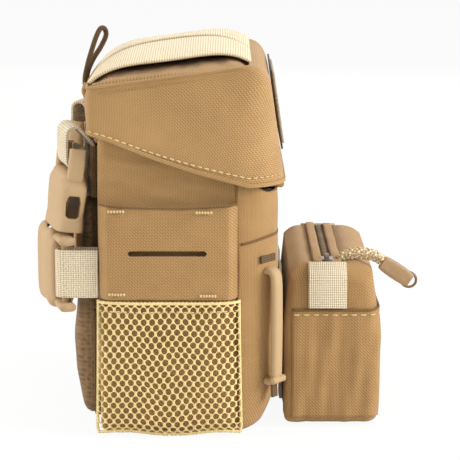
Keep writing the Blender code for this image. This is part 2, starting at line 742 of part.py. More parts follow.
def build_zip_pull():
    """Slider on the zip, braided cord through its bail and a moulded grip on the cord."""
    slider_y = -(POUCH_HALF - ZIP_MARGIN) + SLIDER_LENGTH / 2 + 1.5 * MM
    low = POUCH_HIGH - POUCH_WALL + ZIP_THICK + GAP
    box(
        "zip_slider",
        (ZIP_X - SLIDER_HALF_WIDTH, slider_y - SLIDER_LENGTH / 2, low),
        (ZIP_X + SLIDER_HALF_WIDTH, slider_y + SLIDER_LENGTH / 2, low + SLIDER_HEIGHT),
        BROWN,
        0.4,
        0.3,
        rounding=1 * MM,
    )
    start = ZIP_X + SLIDER_HALF_WIDTH + GAP + PULL_R
    middle = low + PULL_CORD_Z
    grip = PULL_GRIP_X
    run = [
        (grip, slider_y - 2 * MM, middle - 1 * MM),
        (104 * MM, slider_y - 2.2 * MM, middle + 1.2 * MM),
        (96 * MM, slider_y - 2.2 * MM, middle + 2 * MM),
        (89 * MM, slider_y - 2 * MM, middle + 1.2 * MM),
        (start + 1.2 * MM, slider_y - 1.4 * MM, middle + 0.2 * MM),
        (start, slider_y, middle),
        (start + 1.2 * MM, slider_y + 1.4 * MM, middle + 0.2 * MM),
        (89 * MM, slider_y + 2 * MM, middle + 1.2 * MM),
        (96 * MM, slider_y + 2.2 * MM, middle + 2 * MM),
        (104 * MM, slider_y + 2.2 * MM, middle + 1.2 * MM),
        (grip, slider_y + 2 * MM, middle - 1 * MM),
    ]
    cord("zip_pull_cord", run, PULL_R, PALE)
    root = np.array((grip + GAP, middle - 1 * MM))
    along = np.array((math.cos(PULL_TAB_TILT), math.sin(PULL_TAB_TILT)))
    out = np.array((-along[1], along[0]))
    half = PULL_TAB_THICK / 2
    corners = [
        root - out * half,
        root + along * PULL_TAB_LENGTH - out * half,
        root + along * PULL_TAB_LENGTH + out * half,
        root + out * half,
    ]
    ends = (slider_y - PULL_TAB_WIDTH / 2, slider_y + PULL_TAB_WIDTH / 2)
    solid("zip_pull_tab", [[(x, y, z) for x, z in corners] for y in ends], MOULDED, 0.5)


def build_pull_loop():
    """Cord loop at the rear edge of the lid, which opens it."""
    rear = LID_SKIRT_BACK - GAP - LID_BACK_THICK - 2 * GAP - LOOP_R
    points = [
        (rear, -3 * MM, 171 * MM),
        (rear - 0.6 * MM, -3.4 * MM, 178 * MM),
        (rear + 1 * MM, -3.6 * MM, 186 * MM),
        (rear + 3.4 * MM, -3.4 * MM, 194 * MM),
        (rear + 5.8 * MM, -2.6 * MM, 201 * MM),
        (rear + 8 * MM, -0.6 * MM, 205 * MM),
        (rear + 10 * MM, 1.4 * MM, 204.6 * MM),
        (rear + 10.6 * MM, 2.8 * MM, 201 * MM),
        (rear + 7.6 * MM, 3.6 * MM, 194.6 * MM),
        (rear + 3.4 * MM, 3.8 * MM, 188 * MM),
        (rear + 0.2 * MM, 3.6 * MM, 180 * MM),
        (rear, 3 * MM, 171 * MM),
    ]
    cord("pull_loop", points, LOOP_R, BROWN)


clear_scene()
build_body()
build_back()
build_lid()
build_side_pockets()
build_front()
build_straps()
build_pouch()
build_pull_loop()
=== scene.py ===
"""Binocular harness pack: fabric shells, webbing, net, moulded fittings and cords around the fixed frame.

Every size is in metres and in the frame's own axes: the wearer is on the -X side, +Y is the wearer's left.
"""

import json
import logging
import math
from dataclasses import dataclass, field
from enum import Enum
from typing import Any

import bpy
import numpy as np
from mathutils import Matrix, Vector


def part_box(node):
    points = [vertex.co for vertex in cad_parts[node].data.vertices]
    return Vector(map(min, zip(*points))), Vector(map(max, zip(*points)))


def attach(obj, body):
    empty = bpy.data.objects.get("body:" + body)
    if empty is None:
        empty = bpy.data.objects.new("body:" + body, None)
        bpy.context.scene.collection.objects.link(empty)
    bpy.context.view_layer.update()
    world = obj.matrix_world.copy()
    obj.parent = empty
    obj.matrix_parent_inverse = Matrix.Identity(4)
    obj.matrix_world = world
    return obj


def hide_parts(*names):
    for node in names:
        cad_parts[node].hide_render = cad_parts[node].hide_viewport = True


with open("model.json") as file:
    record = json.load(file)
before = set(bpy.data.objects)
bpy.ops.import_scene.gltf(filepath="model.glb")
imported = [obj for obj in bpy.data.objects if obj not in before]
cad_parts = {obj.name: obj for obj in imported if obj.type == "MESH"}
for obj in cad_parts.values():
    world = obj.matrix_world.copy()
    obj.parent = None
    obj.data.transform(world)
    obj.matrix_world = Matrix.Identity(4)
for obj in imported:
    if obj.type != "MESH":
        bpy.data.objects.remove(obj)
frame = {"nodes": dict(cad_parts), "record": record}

Array = np.ndarray
LOG = logging.getLogger("harness_pack")
MM = 0.001
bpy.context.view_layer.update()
SIDES = (("left", 1), ("right", -1))


# ---------------------------------------------------------------- numbers and curves


def lows(node: str) -> Array:
    """Lowest corner of a frame node, in metres.

    Args:
        node: the frame node's name.

    Returns:
        X, Y and Z.
    """
    return np.array(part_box(node)[0])


def highs(node: str) -> Array:
    """Highest corner of a frame node, in metres.

    Args:
        node: the frame node's name.

    Returns:
        X, Y and Z.
    """
    return np.array(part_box(node)[1])


def smooth(values: Array) -> Array:
    """Smoothstep, 3t^2 - 2t^3, of values clipped to 0 to 1.

    Args:
        values: any shape.

    Returns:
        The same shape, 0 to 1.
    """
    t = np.clip(values, 0, 1)
    return t * t * (3 - 2 * t)


def bump(values: Array, centre: float, width: float) -> Array:
    """Gaussian hill of height 1 at the centre.

    Args:
        values: where to read it.
        centre: its top.
        width: where it has fallen to 1/e.

    Returns:
        Heights, 0 to 1.
    """
    return np.exp(-(((values - centre) / width) ** 2))


def ripple(points: Array, pitch: float, seed: int) -> Array:
    """Soft seeded noise in -1 to 1: the mean of eight sine waves in random directions.

    Args:
        points: places, any shape ending in 3.
        pitch: mean wavelength in metres.
        seed: seed of the directions and phases.

    Returns:
        One value for each place.
    """
    draw = np.random.default_rng(seed)
    ways = draw.normal(size=(8, 3))
    ways *= (2 * math.pi / pitch) * draw.uniform(0.6, 1.5, (8, 1)) / np.linalg.norm(ways, axis=1)[:, None]
    return np.sin(points @ ways.T + draw.uniform(0, 2 * math.pi, 8)).mean(axis=-1) * 1.6


def resample(path: Array, count: int, closed: bool = False) -> Array:
    """Reads a polyline at even steps of its length.

    Args:
        path: points, n by 2 or 3.
        count: how many points to return.
        closed: whether the last point joins the first.

    Returns:
        The evenly spaced points, without a repeated end where closed.
    """
    path = np.asarray(path, float)
    if closed:
        path = np.vstack([path, path[:1]])
    length = np.concatenate([[0], np.cumsum(np.linalg.norm(np.diff(path, axis=0), axis=1))])
    stations = np.linspace(0, length[-1], count + 1 if closed else count)[:count]
    return np.stack([np.interp(stations, length, path[:, i]) for i in range(path.shape[1])], axis=1)


def spline(points: Array, count: int) -> Array:
    """Catmull-Rom curve through the points, read at even steps of its length.

    Args:
        points: n by 2 or 3.
        count: how many points to return.

    Returns:
        Points on the curve, both ends among them.
    """
    points = np.asarray(points, float)
    ends = np.vstack([2 * points[0] - points[1], points, 2 * points[-1] - points[-2]])
    t = np.linspace(0, 1, 16, endpoint=False)[None, :, None]
    a, b, c, d = (ends[i : len(ends) - 3 + i][:, None, :] for i in range(4))
    runs = 0.5 * (2 * b + (c - a) * t + (2 * a - 5 * b + 4 * c - d) * t**2 + (3 * b - a - 3 * c + d) * t**3)
    return resample(np.vstack([runs.reshape(-1, points.shape[1]), points[-1:]]), count)


def outline(x0: float, x1: float, half: float, r_front: float, r_back: float, count: int) -> Array:
    """Plan of a box with round corners, anticlockwise from the middle of its rear side.

    Args:
        x0: rear side.
        x1: front side.
        half: half width in Y.
        r_front: radius of both front corners.
        r_back: radius of both rear corners.
        count: number of points, evenly spaced.

    Returns:
        Points, count by 2.
    """
    corners = (
        (x0 + r_back, -half + r_back, r_back, 180),
        (x1 - r_front, -half + r_front, r_front, 270),
        (x1 - r_front, half - r_front, r_front, 0),
        (x0 + r_back, half - r_back, r_back, 90),
    )
    path = [np.array([[x0, 0.0]])]
    for cx, cy, radius, start in corners:
        angle = np.radians(start + np.linspace(0, 90, 13))
        path.append(np.stack([cx + radius * np.cos(angle), cy + radius * np.sin(angle)], axis=1))
    return resample(np.vstack(path), count, closed=True)


# ---------------------------------------------------------------- meshes


def make_mesh(name: str, verts: Array, faces: list, uvs: Array | None = None) -> bpy.types.Object:
    """Puts points and faces into an object at the origin, shaded smooth.

    Args:
        name: the object's name.
        verts: points, n by 3.
        faces: index tuples.
        uvs: one UV for each corner of each face, in order.

    Returns:
        The new object.
    """
    mesh = bpy.data.meshes.new(name)
    mesh.from_pydata(verts.tolist(), [], faces)
    if uvs is not None:
        layer = mesh.uv_layers.new(name="UVMap")
        layer.data.foreach_set("uv", np.ascontiguousarray(uvs, np.float32).ravel())
    mesh.shade_smooth()
    mesh.update()
    piece = bpy.data.objects.new(name, mesh)
    bpy.context.scene.collection.objects.link(piece)
    return piece


def lattice(nu: int, nv: int, closed: bool) -> tuple[Array, Array]:
    """Quads of a grid of nu by nv points and the grid place of each of their corners.

    Args:
        nu: points along u.
        nv: points along v.
        closed: whether u runs round to its start.

    Returns:
        Index quads, and for each corner its (u, v) place, where u isn't wrapped.
    """
    i, j = np.meshgrid(np.arange(nu if closed else nu - 1), np.arange(nv - 1), indexing="ij")
    i, j = i.ravel(), j.ravel()
    place = np.stack([np.stack([i, j]), np.stack([i + 1, j]), np.stack([i + 1, j + 1]), np.stack([i, j + 1])])
    place = place.transpose(2, 0, 1)
    quads = (place[..., 0] % nu) * nv + place[..., 1]
    return quads, place


def grid_surface(
    name: str, points: Array, closed: bool = False, caps: bool = False, uv_of: Array | None = None
) -> bpy.types.Object:
    """A surface through a grid of points, with a UV map in metres along its rows and columns.

    Args:
        name: the object's name.
        points: nu by nv by 3, with u anticlockwise and v upwards for an outward face.
        closed: whether u runs round to its start.
        caps: whether the first and last rows of v are closed with a face.
        uv_of: UVs of the grid, where lengths along the surface won't do; (nu + 1 if closed) by nv by 2.

    Returns:
        The new object.
    """
    nu, nv, _ = points.shape
    quads, place = lattice(nu, nv, closed)
    if uv_of is None:
        ring = np.concatenate([points, points[:1]]) if closed else points
        u = np.concatenate([[0], np.cumsum(np.linalg.norm(np.diff(ring, axis=0), axis=2).mean(axis=1))])
        v = np.concatenate([[0], np.cumsum(np.linalg.norm(np.diff(points, axis=1), axis=2).mean(axis=0))])
        uv_of = np.stack(np.meshgrid(u, v, indexing="ij"), axis=-1)
    corner_uv = uv_of[place[..., 0], place[..., 1]].reshape(-1, 2)
    faces = quads.tolist()
    if caps:
        low = [i * nv for i in range(nu)][::-1]
        high = [i * nv + nv - 1 for i in range(nu)]
        faces += [low, high]
        ends = np.concatenate([uv_of[:nu, 0][::-1], uv_of[:nu, -1]])
        corner_uv = np.concatenate([corner_uv, ends])
    return make_mesh(name, points.reshape(-1, 3), faces, corner_uv)


def close_ring(piece: bpy.types.Object, nu: int, nv: int, at_end: bool) -> None:
    """Closes with one face the small ring that a loft leaves open at its middle.

    Args:
        piece: a closed grid surface without end faces.
        nu: points round the loft.
        nv: points along it.
        at_end: whether the ring is the loft's last row, and not its first.
    """
    old = piece.data
    places = np.empty(len(old.vertices) * 3)
    old.vertices.foreach_get("co", places)
    places = places.reshape(-1, 3)
    uv = np.empty(len(old.loops) * 2)
    old.uv_layers[0].data.foreach_get("uv", uv)
    ring = [i * nv + nv - 1 for i in range(nu)] if at_end else [i * nv for i in range(nu)][::-1]
    quads, _ = lattice(nu, nv, True)
    corner_uv = np.vstack([uv.reshape(-1, 2), places[ring][:, :2]])
    closed = make_mesh(piece.name + "_closed", places, quads.tolist() + [ring], corner_uv)
    piece.data = closed.data
    bpy.data.objects.remove(closed)
    bpy.data.meshes.remove(old)


def thicken(piece: bpy.types.Object, depth: float, offset: float = -1.0) -> bpy.types.Object:
    """Gives a sheet its thickness, inwards unless the offset says otherwise.

    Args:
        piece: the sheet.
        depth: its thickness.
        offset: -1 inwards, 0 to both sides, 1 outwards.

    Returns:
        The piece.
    """
    wall = piece.modifiers.new("wall", "SOLIDIFY")
    wall.thickness = depth
    wall.offset = offset
    wall.use_even_offset = False
    return piece


def tangents(path: Array) -> Array:
    """Unit directions along a path.

    Args:
        path: points, n by 3.

    Returns:
        One direction for each point.
    """
    way = np.gradient(path, axis=0)
    return way / np.linalg.norm(way, axis=1)[:, None]


def sweep(name: str, path: Array, across: Array, section: Array) -> bpy.types.Object:
    """A closed section carried along a path: place = path + a * across + b * normal.

    Args:
        name: the object's name.
        path: centre line, n by 3.
        across: unit direction of the section's first axis, 3 or n by 3.
        section: closed outline (a, b), m by 2.

    Returns:
        The closed body, with u round the section and v along the path.
    """
    way = tangents(path)
    across = np.broadcast_to(across, path.shape).astype(float)
    across = across - (across * way).sum(axis=1)[:, None] * way
    across /= np.linalg.norm(across, axis=1)[:, None]
    normal = np.cross(way, across)
    points = path[None] + section[:, 0, None, None] * across[None] + section[:, 1, None, None] * normal[None]
    return grid_surface(name, points, closed=True, caps=True)


def flat_section(width: float, thick: float, rounding: float = 0.45) -> Array:
    """Section of webbing: a rectangle whose edges are rounded by a share of its thickness.

    Args:
        width: along the section's first axis.
        thick: along its second.
        rounding: corner radius as a share of the thickness.

    Returns:
        Closed outline, 16 by 2.
    """
    r = thick * rounding
    half, top = width / 2, thick / 2
    spots = ((half - r, -top + r, -90), (half - r, top - r, 0),
             (-half + r, top - r, 90), (-half + r, -top + r, 180))
    arcs = []
    for cx, cy, start in spots:
        angle = np.radians(start + np.linspace(0, 90, 4))
        arcs.append(np.stack([cx + r * np.cos(angle), cy + r * np.sin(angle)], axis=1))
    return np.vstack(arcs)


def round_section(radius: float, count: int = 12) -> Array:
    """Circle of a cord.

    Args:
        radius: of the cord.
        count: points round it.

    Returns:
        Closed outline, count by 2.
    """
    angle = np.arange(count) * 2 * math.pi / count
    return radius * np.stack([np.cos(angle), np.sin(angle)], axis=1)


def stitches(
    name: str, path: Array, outward: Array, pitch: float, length: float, radius: float
) -> bpy.types.Object:
    """A row of raised thread stitches: spindles of six sides and four rings laid along a path.

    Args:
        name: the object's name.
        path: line of the row, n by 3.
        outward: unit direction off the cloth, 3 or n by 3.
        pitch: from one stitch to the next.
        length: of a stitch.
        radius: of the thread.

    Returns:
        One object with every stitch as its own closed body.
    """
    total = np.linalg.norm(np.diff(path, axis=0), axis=1).sum()
    count = max(2, int(total / pitch))
    both = np.hstack([path, np.broadcast_to(outward, path.shape)])
    even = np.stack([np.interp(np.linspace(0, len(path) - 1, count * 4), np.arange(len(path)), both[:, i])
                     for i in range(6)], axis=1)
    steps = np.concatenate([[0], np.cumsum(np.linalg.norm(np.diff(even[:, :3], axis=0), axis=1))])
    stations = (np.arange(count) + 0.5) * total / count
    spots = np.stack([np.interp(stations, steps, even[:, i]) for i in range(6)], axis=1)
    way = tangents(spots[:, :3])
    off = spots[:, 3:]
    side = np.cross(way, off)
    along = np.array([-0.5, -0.32, 0.32, 0.5]) * length
    girth = np.array([0.25, 1, 1, 0.25]) * radius
    angle = np.arange(6) * math.pi / 3
    verts = (
        spots[:, None, None, :3]
        + off[:, None, None] * radius * 0.35
        + along[None, None, :, None] * way[:, None, None]
        + girth[None, None, :, None] * np.cos(angle)[None, :, None, None] * side[:, None, None]
        + girth[None, None, :, None] * np.sin(angle)[None, :, None, None] * off[:, None, None]
    )
    quads, _ = lattice(6, 4, True)
    caps = [[i * 4 for i in range(6)][::-1], [i * 4 + 3 for i in range(6)]]
    faces = []
    for number in range(count):
        faces += (quads[:, ::-1] + number * 24).tolist()
        faces += [[v + number * 24 for v in reversed(cap)] for cap in caps]
    return make_mesh(name, verts.reshape(-1, 3), faces)


# ---------------------------------------------------------------- finishes


def linear(code: str) -> tuple[float, float, float, float]:
    """An sRGB hex colour as linear RGBA.

    Args:
        code: # and six hex digits.

    Returns:
        Red, green, blue and an alpha of 1.
    """
    values = [int(code[i : i + 2], 16) / 255 for i in (1, 3, 5)]
    flat = [v / 12.92 if v <= 0.04045 else ((v + 0.055) / 1.055) ** 2.4 for v in values]
    return (flat[0], flat[1], flat[2], 1.0)


def add_node(tree: bpy.types.NodeTree, kind: str, inputs: dict | None = None, **settings: Any) -> bpy.types.Node:
    """Adds a shader node, sets it and links it.

    Args:
        tree: the material's node tree.
        kind: the node's type name.
        inputs: for each input's name or number, a value or the output socket that feeds it.
        settings: the node's own properties.

    Returns:
        The node.
    """
    node = tree.nodes.new(kind)
    for key, value in settings.items():
        setattr(node, key, value)
    for key, value in (inputs or {}).items():
        if isinstance(value, bpy.types.NodeSocket):
            tree.links.new(value, node.inputs[key])
        else:
            node.inputs[key].default_value = value
    return node


class Weave(Enum):
    """How a cloth's surface is made."""

    TWILL = "twill"      # fine laminated nylon with a faint diagonal
    RIB = "rib"          # elastic band, ribs across its length
    WEBBING = "webbing"  # coarse strap weave, raised nubs in rows
    NET = "net"          # twisted yarn
    SPACER = "spacer"    # thick knit with round cells
    BRAID = "braid"      # round cord, strands crossing
    PILE = "pile"        # loop field


@dataclass(frozen=True)
class Cloth:
    """A woven or knitted finish. Pitches are in millimetres on the cloth.

    Matt fibre scatters light, so roughness is high and a little sheen lifts grazing edges.
    """

    name: str
    weave: Weave
    colour: str
    shade: str
    pitch: float
    depth: float = 0.25
    cross: float = 1.0
    mottle: float = 0.18

    def material(self) -> bpy.types.Material:
        """The finish's node material, made once."""
        made = bpy.data.materials.get(self.name)
        if made:
            return made
        made = bpy.data.materials.new(self.name)
        made.use_nodes = True
        tree = made.node_tree
        shader = tree.nodes["Principled BSDF"]
        where = add_node(tree, "ShaderNodeTexCoord")
        thread = add_node(tree, "ShaderNodeMapping", {"Vector": where.outputs["UV"], "Scale": (1000, 1000, 1000)})
        height = self.pattern(tree, thread.outputs[0])
        blotch = add_node(
            tree,
            "ShaderNodeTexNoise",
            {"Vector": where.outputs["Object"], "Scale": 55.0, "Detail": 4.0, "Roughness": 0.6},
        )
        level = add_node(tree, "ShaderNodeMath", {0: blotch.outputs[0], 1: self.mottle * 2}, operation="MULTIPLY")
        level = add_node(tree, "ShaderNodeMath", {0: level.outputs[0], 1: -self.mottle}, operation="ADD")
        level = add_node(tree, "ShaderNodeMath", {0: level.outputs[0], 1: height}, operation="ADD", use_clamp=True)
        mix = self.blend(tree, level.outputs[0])
        relief = add_node(tree, "ShaderNodeBump", {"Height": height, "Strength": 0.7, "Distance": self.depth * MM})
        tree.links.new(mix, shader.inputs["Base Color"])
        tree.links.new(relief.outputs[0], shader.inputs["Normal"])
        shader.inputs["Roughness"].default_value = 0.86
        shader.inputs["Sheen Weight"].default_value = 0.12
        shader.inputs["Specular IOR Level"].default_value = 0.25
        return made

    def blend(self, tree: bpy.types.NodeTree, level: bpy.types.NodeSocket) -> bpy.types.NodeSocket:
        """Colour between the shade in the gaps and the yarn's own colour."""
        ramp = add_node(tree, "ShaderNodeValToRGB", {0: level})
        ramp.color_ramp.elements[0].color = linear(self.shade)
        ramp.color_ramp.elements[0].position = 0.05
        ramp.color_ramp.elements[1].color = linear(self.colour)
        ramp.color_ramp.elements[1].position = 0.75
        return ramp.outputs[0]

    def wave(self, tree: bpy.types.NodeTree, at: bpy.types.NodeSocket, way: str, pitch: float) -> Any:
        """A sine band pattern of the given pitch in millimetres, 0 to 1."""
        half = 2 if way == "DIAGONAL" else 1
        return add_node(
            tree,
            "ShaderNodeTexWave",
            {"Vector": at, "Scale": 2 * math.pi / (20 * pitch) * half, "Distortion": 0.5, "Detail": 1.0,
             "Detail Scale": 0.6},
            bands_direction=way,
        ).outputs[1]

    def join(self, tree: bpy.types.NodeTree, how: str, one: Any, two: Any) -> bpy.types.NodeSocket:
        """Math on two values."""
        return add_node(tree, "ShaderNodeMath", {0: one, 1: two}, operation=how).outputs[0]

    def pattern(self, tree: bpy.types.NodeTree, at: bpy.types.NodeSocket) -> bpy.types.NodeSocket:
        """Height of the yarns, 0 to 1, from the cloth's UVs in millimetres."""
        p = self.pitch
        if self.weave is Weave.SPACER:
            cells = add_node(tree, "ShaderNodeTexVoronoi", {"Vector": at, "Scale": 1 / p, "Randomness": 0.35})
            grain = add_node(tree, "ShaderNodeTexNoise", {"Vector": at, "Scale": 1.6 / p, "Detail": 5.0})
            wall = self.join(tree, "MULTIPLY", cells.outputs["Distance"], 1.1)
            return self.join(tree, "MULTIPLY", self.join(tree, "ADD", wall, grain.outputs[0]), 0.62)
        if self.weave in (Weave.PILE, Weave.NET):
            grain = add_node(tree, "ShaderNodeTexNoise", {"Vector": at, "Scale": 1 / p, "Detail": 6.0})
            return grain.outputs[0]
        if self.weave is Weave.BRAID:
            left = self.wave(tree, at, "DIAGONAL", p)
            turn = add_node(tree, "ShaderNodeMapping", {"Vector": at, "Rotation": (0, 0, math.pi / 2)})
            right = self.wave(tree, turn.outputs[0], "DIAGONAL", p)
            return self.join(tree, "MAXIMUM", self.join(tree, "MULTIPLY", left, right), 0.05)
        weft = self.wave(tree, at, "X", p * self.cross)
        warp = self.wave(tree, at, "Y", p)
        if self.weave is Weave.RIB:
            fine = self.join(tree, "MULTIPLY", weft, 0.22)
            return self.join(tree, "ADD", self.join(tree, "MULTIPLY", warp, 0.6), fine)
        if self.weave is Weave.WEBBING:
            rows, columns = self.join(tree, "ADD", warp, 0.35), self.join(tree, "ADD", weft, 0.3)
            return self.join(tree, "MULTIPLY", rows, columns)
        twill = self.wave(tree, at, "DIAGONAL", p * 2.2)
        basket = self.join(tree, "MULTIPLY", self.join(tree, "ADD", warp, weft), 0.3)
        return self.join(tree, "ADD", basket, self.join(tree, "MULTIPLY", twill, 0.35))


@dataclass(frozen=True)
class Moulded:
    """Injection-moulded polymer or painted metal: even colour, fine grain, soft gloss on worn high spots."""

    name: str
    colour: str
    shade: str
    roughness: float = 0.42
    grain: float = 0.5   # millimetres between grains
    metallic: float = 0.0

    def material(self) -> bpy.types.Material:
        """The finish's node material, made once."""
        made = bpy.data.materials.get(self.name)
        if made:
            return made
        made = bpy.data.materials.new(self.name)
        made.use_nodes = True
        tree = made.node_tree
        shader = tree.nodes["Principled BSDF"]
        where = add_node(tree, "ShaderNodeTexCoord").outputs["Object"]
        fine = add_node(tree, "ShaderNodeTexNoise", {"Vector": where, "Scale": 1000 / self.grain, "Detail": 2.0})
        broad = add_node(tree, "ShaderNodeTexNoise", {"Vector": where, "Scale": 70.0, "Detail": 3.0})
        ramp = add_node(tree, "ShaderNodeValToRGB", {0: broad.outputs[0]})
        ramp.color_ramp.elements[0].color = linear(self.shade)
        ramp.color_ramp.elements[0].position = 0.3
        ramp.color_ramp.elements[1].color = linear(self.colour)
        ramp.color_ramp.elements[1].position = 0.62
        worn = add_node(
            tree,
            "ShaderNodeMapRange",
            {"Value": broad.outputs[0], "To Min": self.roughness - 0.08, "To Max": self.roughness + 0.1},
        )
        relief = add_node(
            tree, "ShaderNodeBump",
            {"Height": fine.outputs[0], "Strength": 0.25, "Distance": 0.00008},
        )
        tree.links.new(ramp.outputs[0], shader.inputs["Base Color"])
        tree.links.new(worn.outputs[0], shader.inputs["Roughness"])
        tree.links.new(relief.outputs[0], shader.inputs["Normal"])
        shader.inputs["Metallic"].default_value = self.metallic
        return made


SHELL = Cloth("woven_nylon_laminate", Weave.TWILL, "#b18c5c", "#7a5a33", 0.8, 0.2)
LID_CLOTH = Cloth("moulded_nylon_foam_laminate", Weave.TWILL, "#b49060", "#7d5d35", 0.75, 0.2)
LINING = Cloth("brushed_fleece_lining", Weave.PILE, "#8a6f4b", "#6a5236", 1.2, 0.3)
BAND = Cloth("ribbed_elastic_band", Weave.RIB, "#e6d7b8", "#b8a27c", 1.3, 0.25, 0.5, 0.1)
WEBBING = Cloth("woven_strap_webbing", Weave.WEBBING, "#e8dabd", "#94805e", 1.25, 0.4, 0.8, 0.16)
TAPE = Cloth("dark_binding_tape", Weave.WEBBING, "#6a5130", "#3f2d17", 1.2, 0.3)
# Seam cloth drawn darker than the shell: painted shade in the folds of seams and hems and under the slotted panel's
# free top edge.
SEAM_PAINTED_SHADE = Cloth("seam_edge_painted_shade", Weave.TWILL, "#7d5d35", "#59401f", 0.9, 0.1)
NET = Cloth("knitted_hexagonal_net", Weave.NET, "#ead69b", "#c2a766", 0.7, 0.2, 1.0, 0.1)
SPACER = Cloth("knitted_spacer_mesh", Weave.SPACER, "#83694a", "#2c1e0f", 2.4, 0.7)
CORD = Cloth("dark_braided_cord", Weave.BRAID, "#7b603a", "#3c2a14", 1.1, 0.4)
BRAID = Cloth("pale_braided_cord", Weave.BRAID, "#f6ead0", "#b89c6c", 2.4, 0.4)
PATCH = Cloth("loop_pile_field", Weave.PILE, "#b5a58a", "#4c3f2c", 1.0, 0.5)
THREAD = Cloth("polyester_thread", Weave.NET, "#d9c090", "#b59864", 0.5, 0.1)
ACETAL = Moulded("moulded_acetal", "#b09872", "#9c825a", 0.32)
GRIP = Moulded("moulded_soft_grip", "#a98a66", "#957650", 0.5, 0.4)
HOOP = Moulded("dark_moulded_hoop", "#7d6340", "#6b5230")
SLIDER = Moulded("painted_zinc_slider", "#5e4a30", "#453420", 0.36, 0.6, 0.2)
COIL = Moulded("nylon_zip_coil", "#6f5733", "#57421f", 0.45, 0.4)
HIDDEN = Moulded("plated_steel", "#9a9a98", "#828280", 0.35, 0.3, 0.9)


def dress(piece: bpy.types.Object, finish: Cloth | Moulded, body: str, slot: str, *nodes: str) -> bpy.types.Object:
    """Gives a new piece its finish and the body that it rides on, and hides the frame nodes that it stands for.

    Args:
        piece: the new object.
        finish: its finish.
        body: the frame's body that it moves with.
        slot: the record's material slot; not used.
        nodes: the frame nodes that it replaces.

    Returns:
        The piece.
    """
    piece.data.materials.clear()
    piece.data.materials.append(finish.material())
    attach(piece, body)
    if nodes:
        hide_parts(*nodes)
    LOG.info("%s rides on %s", piece.name, body)
    return piece


def redress(finish: Cloth | Moulded, *nodes: str) -> None:
    """Gives frame nodes that stay visible a finish of their own.

    Args:
        finish: the finish.
        nodes: the frame nodes' names.
    """
    for node in nodes:
        piece = frame["nodes"][node]
        for number in range(len(piece.material_slots)):
            piece.material_slots[number].material = finish.material()


# ---------------------------------------------------------------- the pack's body


